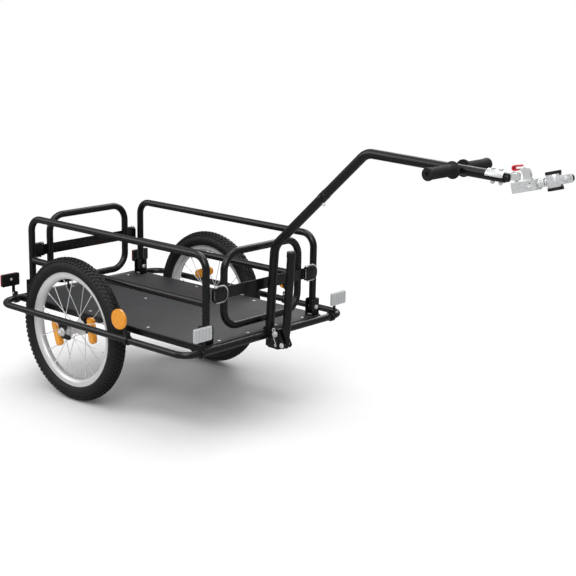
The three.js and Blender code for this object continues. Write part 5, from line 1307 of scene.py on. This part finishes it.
def makeFrontReflector(name, side):
    shape = newShape()
    e = endReflector
    back, front = e["frontX"] - e["depth"] / 2, e["frontX"] + e["depth"] / 2
    y = side * e["frontY"]
    outline = reflectorOutline(y, 0, e["corner"])
    addPlate(shape, outline, [], e["depth"] - 1, lambda a, b, c: (e["frontX"] - 0.5 + c, a, b), edge=0.9)
    for k in range(-13, 14):
        addTube(shape,
                [(front - 0.7, y + k * 2.05, e["z"] - e["height"] / 2 + 3),
                 (front - 0.7, y + k * 2.05, e["z"] + e["height"] / 2 - 3)], 0.7, 6, edge=0.2)
    shape["finish"] = 1
    clampY = side * e["frontClampY"]
    addRing(shape, (base["frontX"], clampY, base["level"]), (0, 1, 0), base["tube"])
    stemTop = e["z"] - e["height"] / 4
    addBlock(shape, (481, clampY - 4.5, 242.2), (back + 1, clampY + 4.5, 252), 1)
    addBlock(shape, (back - 3, clampY - 4.5, 244), (back + 0.6, clampY + 4.5, stemTop), 1)
    finishShape(shape, f"frontReflectorClear_{name}", [clearLens, nylonBlack], f"front_reflector_{name}",
                [f"front_reflector_{name}"])


def makeRearReflector(name, side):
    shape = newShape()
    e = endReflector
    front = e["rearX"] + e["depth"] / 2
    y = side * e["rearY"]
    outline = reflectorOutline(y, 0, e["corner"])
    addPlate(shape, outline, [], e["depth"], lambda a, b, c: (e["rearX"] + c, a, b), edge=1.1)
    rimOutline = reflectorOutline(y, 4, 3)
    addPlate(shape, rimOutline, [], 1.4, lambda a, b, c: (front + 0.2 + c, a, b), edge=0.4)
    clampY = side * e["rearClampY"]
    addRing(shape, (base["rearX"], clampY, base["level"]), (0, 1, 0), guard["radius"])
    addBlock(shape, (front - 1, clampY - 4.5, 241.2), (base["rearX"] + 4, clampY + 4.5, 252), 1)
    addBlock(shape, (front - 1, clampY - 4.5, 244), (front + 3, clampY + 4.5, e["z"] - 8), 1)
    shape["finish"] = 1
    addDome(shape, (front + 0.6, y, e["z"] + 2), (1, 0, 0), 4.4, 2.6)
    addTurned(shape, mirrored([(3.2, -7), (3.2, -5.5), (1.8, -5.5)]), (base["rearX"] - 5, clampY, 248),
              (0, 1, 0), 14)
    finishShape(shape, f"rearReflectorBody_{name}", [nylonBlack, zincPlate], f"rear_reflector_{name}",
                [f"rear_reflector_body_{name}"])

    lens = newShape()
    back = e["rearX"] - e["depth"] / 2 - 0.3
    outline = reflectorOutline(y, 0.3, e["corner"])
    addPlate(lens, outline, [], 2.4, lambda a, b, c: (back - 1.2 + c, a, b), edge=0.5)
    for k in range(-12, 13):
        addTube(lens, [(back - 2.3, y + k * 2.05, e["z"] - 13), (back - 2.3, y + k * 2.05, e["z"] + 13)],
                0.65, 6, edge=0.2)
    finishShape(lens, f"rearReflectorLens_{name}", [redLens], f"rear_reflector_{name}",
                [f"rear_reflector_lens_{name}"])


for name, side in sides.items():
    makeSideReflector(name, side)
    makeSideClamp(name, side)
    makeFrontReflector(name, side)
    makeRearReflector(name, side)
print("reflectors made")

# Floor, light and camera

studio = {"floorHalf": 9, "fadeFrom": 1.3, "fadeTo": 2.6, "fill": 0.5, "wallGrey": 0.08, "ceilingGrey": 0.5,
          "floorSheen": 0.3, "lamps": [("keyLamp", (3.0, -4.2, 4.4), 3.4, 150),
                                       ("fillLamp", (-3.6, -3.2, 3.2), 3.6, 70),
                                       ("backLamp", (-1.8, 4.6, 3.8), 3.6, 110),
                                       ("topLamp", (0.2, 0.0, 5.4), 4.0, 110)]}
lens = {"place": (2642.69, -2395.01, 1144.24), "azimuth": 41.22, "elevation": 13.72, "roll": 1.13, "focal":
        1269.34}


def makeFloor():
    mesh = bpy.data.meshes.new("studioFloor")
    half = studio["floorHalf"]
    mesh.from_pydata([(-half, -half, 0), (half, -half, 0), (half, half, 0), (-half, half, 0)], [],
                     [[0, 1, 2, 3]])
    floor = bpy.data.objects.new("studioFloor", mesh)
    bpy.context.scene.collection.objects.link(floor)
    # uncoated paper roll: white, no sheen
    paper, tree, shader, where = newFinish("mattPaperSweep", 0.0, 0.9, 1.45)
    varyColour(tree, shader, where, "#f1f1f1", "#f7f7f7", 400)
    reach = addNode(tree, "ShaderNodeVectorMath", {0: where}, operation="LENGTH")
    fade = addNode(tree, "ShaderNodeMapRange",
                   {"Value": reach.outputs["Value"], "From Min": studio["fadeFrom"], "From Max":
                    studio["fadeTo"]}, interpolation_type="SMOOTHSTEP")
    seen = addNode(tree, "ShaderNodeLightPath")
    amount = addNode(tree, "ShaderNodeMath", {0: fade.outputs["Result"], 1: seen.outputs["Is Camera Ray"]},
                     operation="MULTIPLY")
    # the sweep burns out to white away from the trailer
    glare = addNode(tree, "ShaderNodeEmission", {"Strength": 1.0})
    blend = addNode(tree, "ShaderNodeMixShader",
                    {"Fac": amount.outputs[0], 1: shader.outputs[0], 2: glare.outputs[0]})
    # a dimmer floor keeps black paint black
    sheen = addNode(tree, "ShaderNodeEmission", {"Strength": studio["floorSheen"]})
    whole = addNode(tree, "ShaderNodeMixShader",
                    {"Fac": seen.outputs["Is Glossy Ray"], 1: blend.outputs[0], 2: sheen.outputs[0]})
    tree.links.new(whole.outputs[0], tree.nodes["Material Output"].inputs["Surface"])
    mesh.materials.append(paper)


def makeLamps():
    for name, place, size, power in studio["lamps"]:
        light = bpy.data.lights.new(name, "AREA")
        light.size = size
        light.energy = power
        lamp = bpy.data.objects.new(name, light)
        lamp.location = place
        lamp.rotation_euler = (Vector((0, 0, 0.3)) - Vector(place)).to_track_quat("-Z", "Y").to_euler()
        bpy.context.scene.collection.objects.link(lamp)


def makeWorld():
    world = bpy.data.worlds.new("studioWorld")
    world.use_nodes = True
    tree = world.node_tree
    tree.nodes.clear()
    seen = addNode(tree, "ShaderNodeLightPath")
    clear = addNode(tree, "ShaderNodeMath",
                    {0: seen.outputs["Is Camera Ray"], 1: seen.outputs["Is Transmission Ray"]},
                    operation="MAXIMUM")
    direction = addNode(tree, "ShaderNodeSeparateXYZ",
                        {"Vector": addNode(tree, "ShaderNodeTexCoord").outputs["Generated"]})
    rise = addNode(tree, "ShaderNodeMapRange",
                   {"Value": direction.outputs["Z"], "From Min": -0.1, "From Max": 0.9, "To Min":
                    studio["wallGrey"], "To Max": studio["ceilingGrey"]})
    walls = addNode(tree, "ShaderNodeBackground", {"Color": (1, 1, 1, 1), "Strength": rise.outputs["Result"]})
    fill = addNode(tree, "ShaderNodeBackground", {"Color": (1, 1, 1, 1), "Strength": studio["fill"]})
    white = addNode(tree, "ShaderNodeBackground", {"Color": (1, 1, 1, 1), "Strength": 1.0})
    room = addNode(tree, "ShaderNodeMixShader",
                   {"Fac": seen.outputs["Is Glossy Ray"], 1: fill.outputs[0], 2: walls.outputs[0]})
    mix = addNode(tree, "ShaderNodeMixShader",
                  {"Fac": clear.outputs[0], 1: room.outputs[0], 2: white.outputs[0]})
    addNode(tree, "ShaderNodeOutputWorld", {"Surface": mix.outputs[0]})
    bpy.context.scene.world = world


def makeCamera():
    camera = bpy.data.cameras.new("photoCamera")
    camera.sensor_fit = "HORIZONTAL"
    camera.sensor_width = 36
    camera.lens = lens["focal"] * camera.sensor_width / 576
    camera.clip_end = 60
    azimuth, elevation, roll = (math.radians(lens[key]) for key in ("azimuth", "elevation", "roll"))
    back = Vector((math.sin(azimuth) * math.cos(elevation), -math.cos(azimuth) * math.cos(elevation),
                   math.sin(elevation)))
    right = Vector((math.cos(azimuth), math.sin(azimuth), 0))
    up = back.cross(right)
    rolledRight = right * math.cos(roll) + up * math.sin(roll)
    rolledUp = up * math.cos(roll) - right * math.sin(roll)
    holder = bpy.data.objects.new("photoCamera", camera)
    turn = Matrix((rolledRight, rolledUp, back)).transposed().to_4x4()
    holder.matrix_world = Matrix.Translation(at(*lens["place"])) @ turn
    bpy.context.scene.collection.objects.link(holder)
    bpy.context.scene.camera = holder


makeFloor()
makeLamps()
makeWorld()
makeCamera()
bpy.context.scene.view_settings.view_transform = "Standard"
print("studio made")
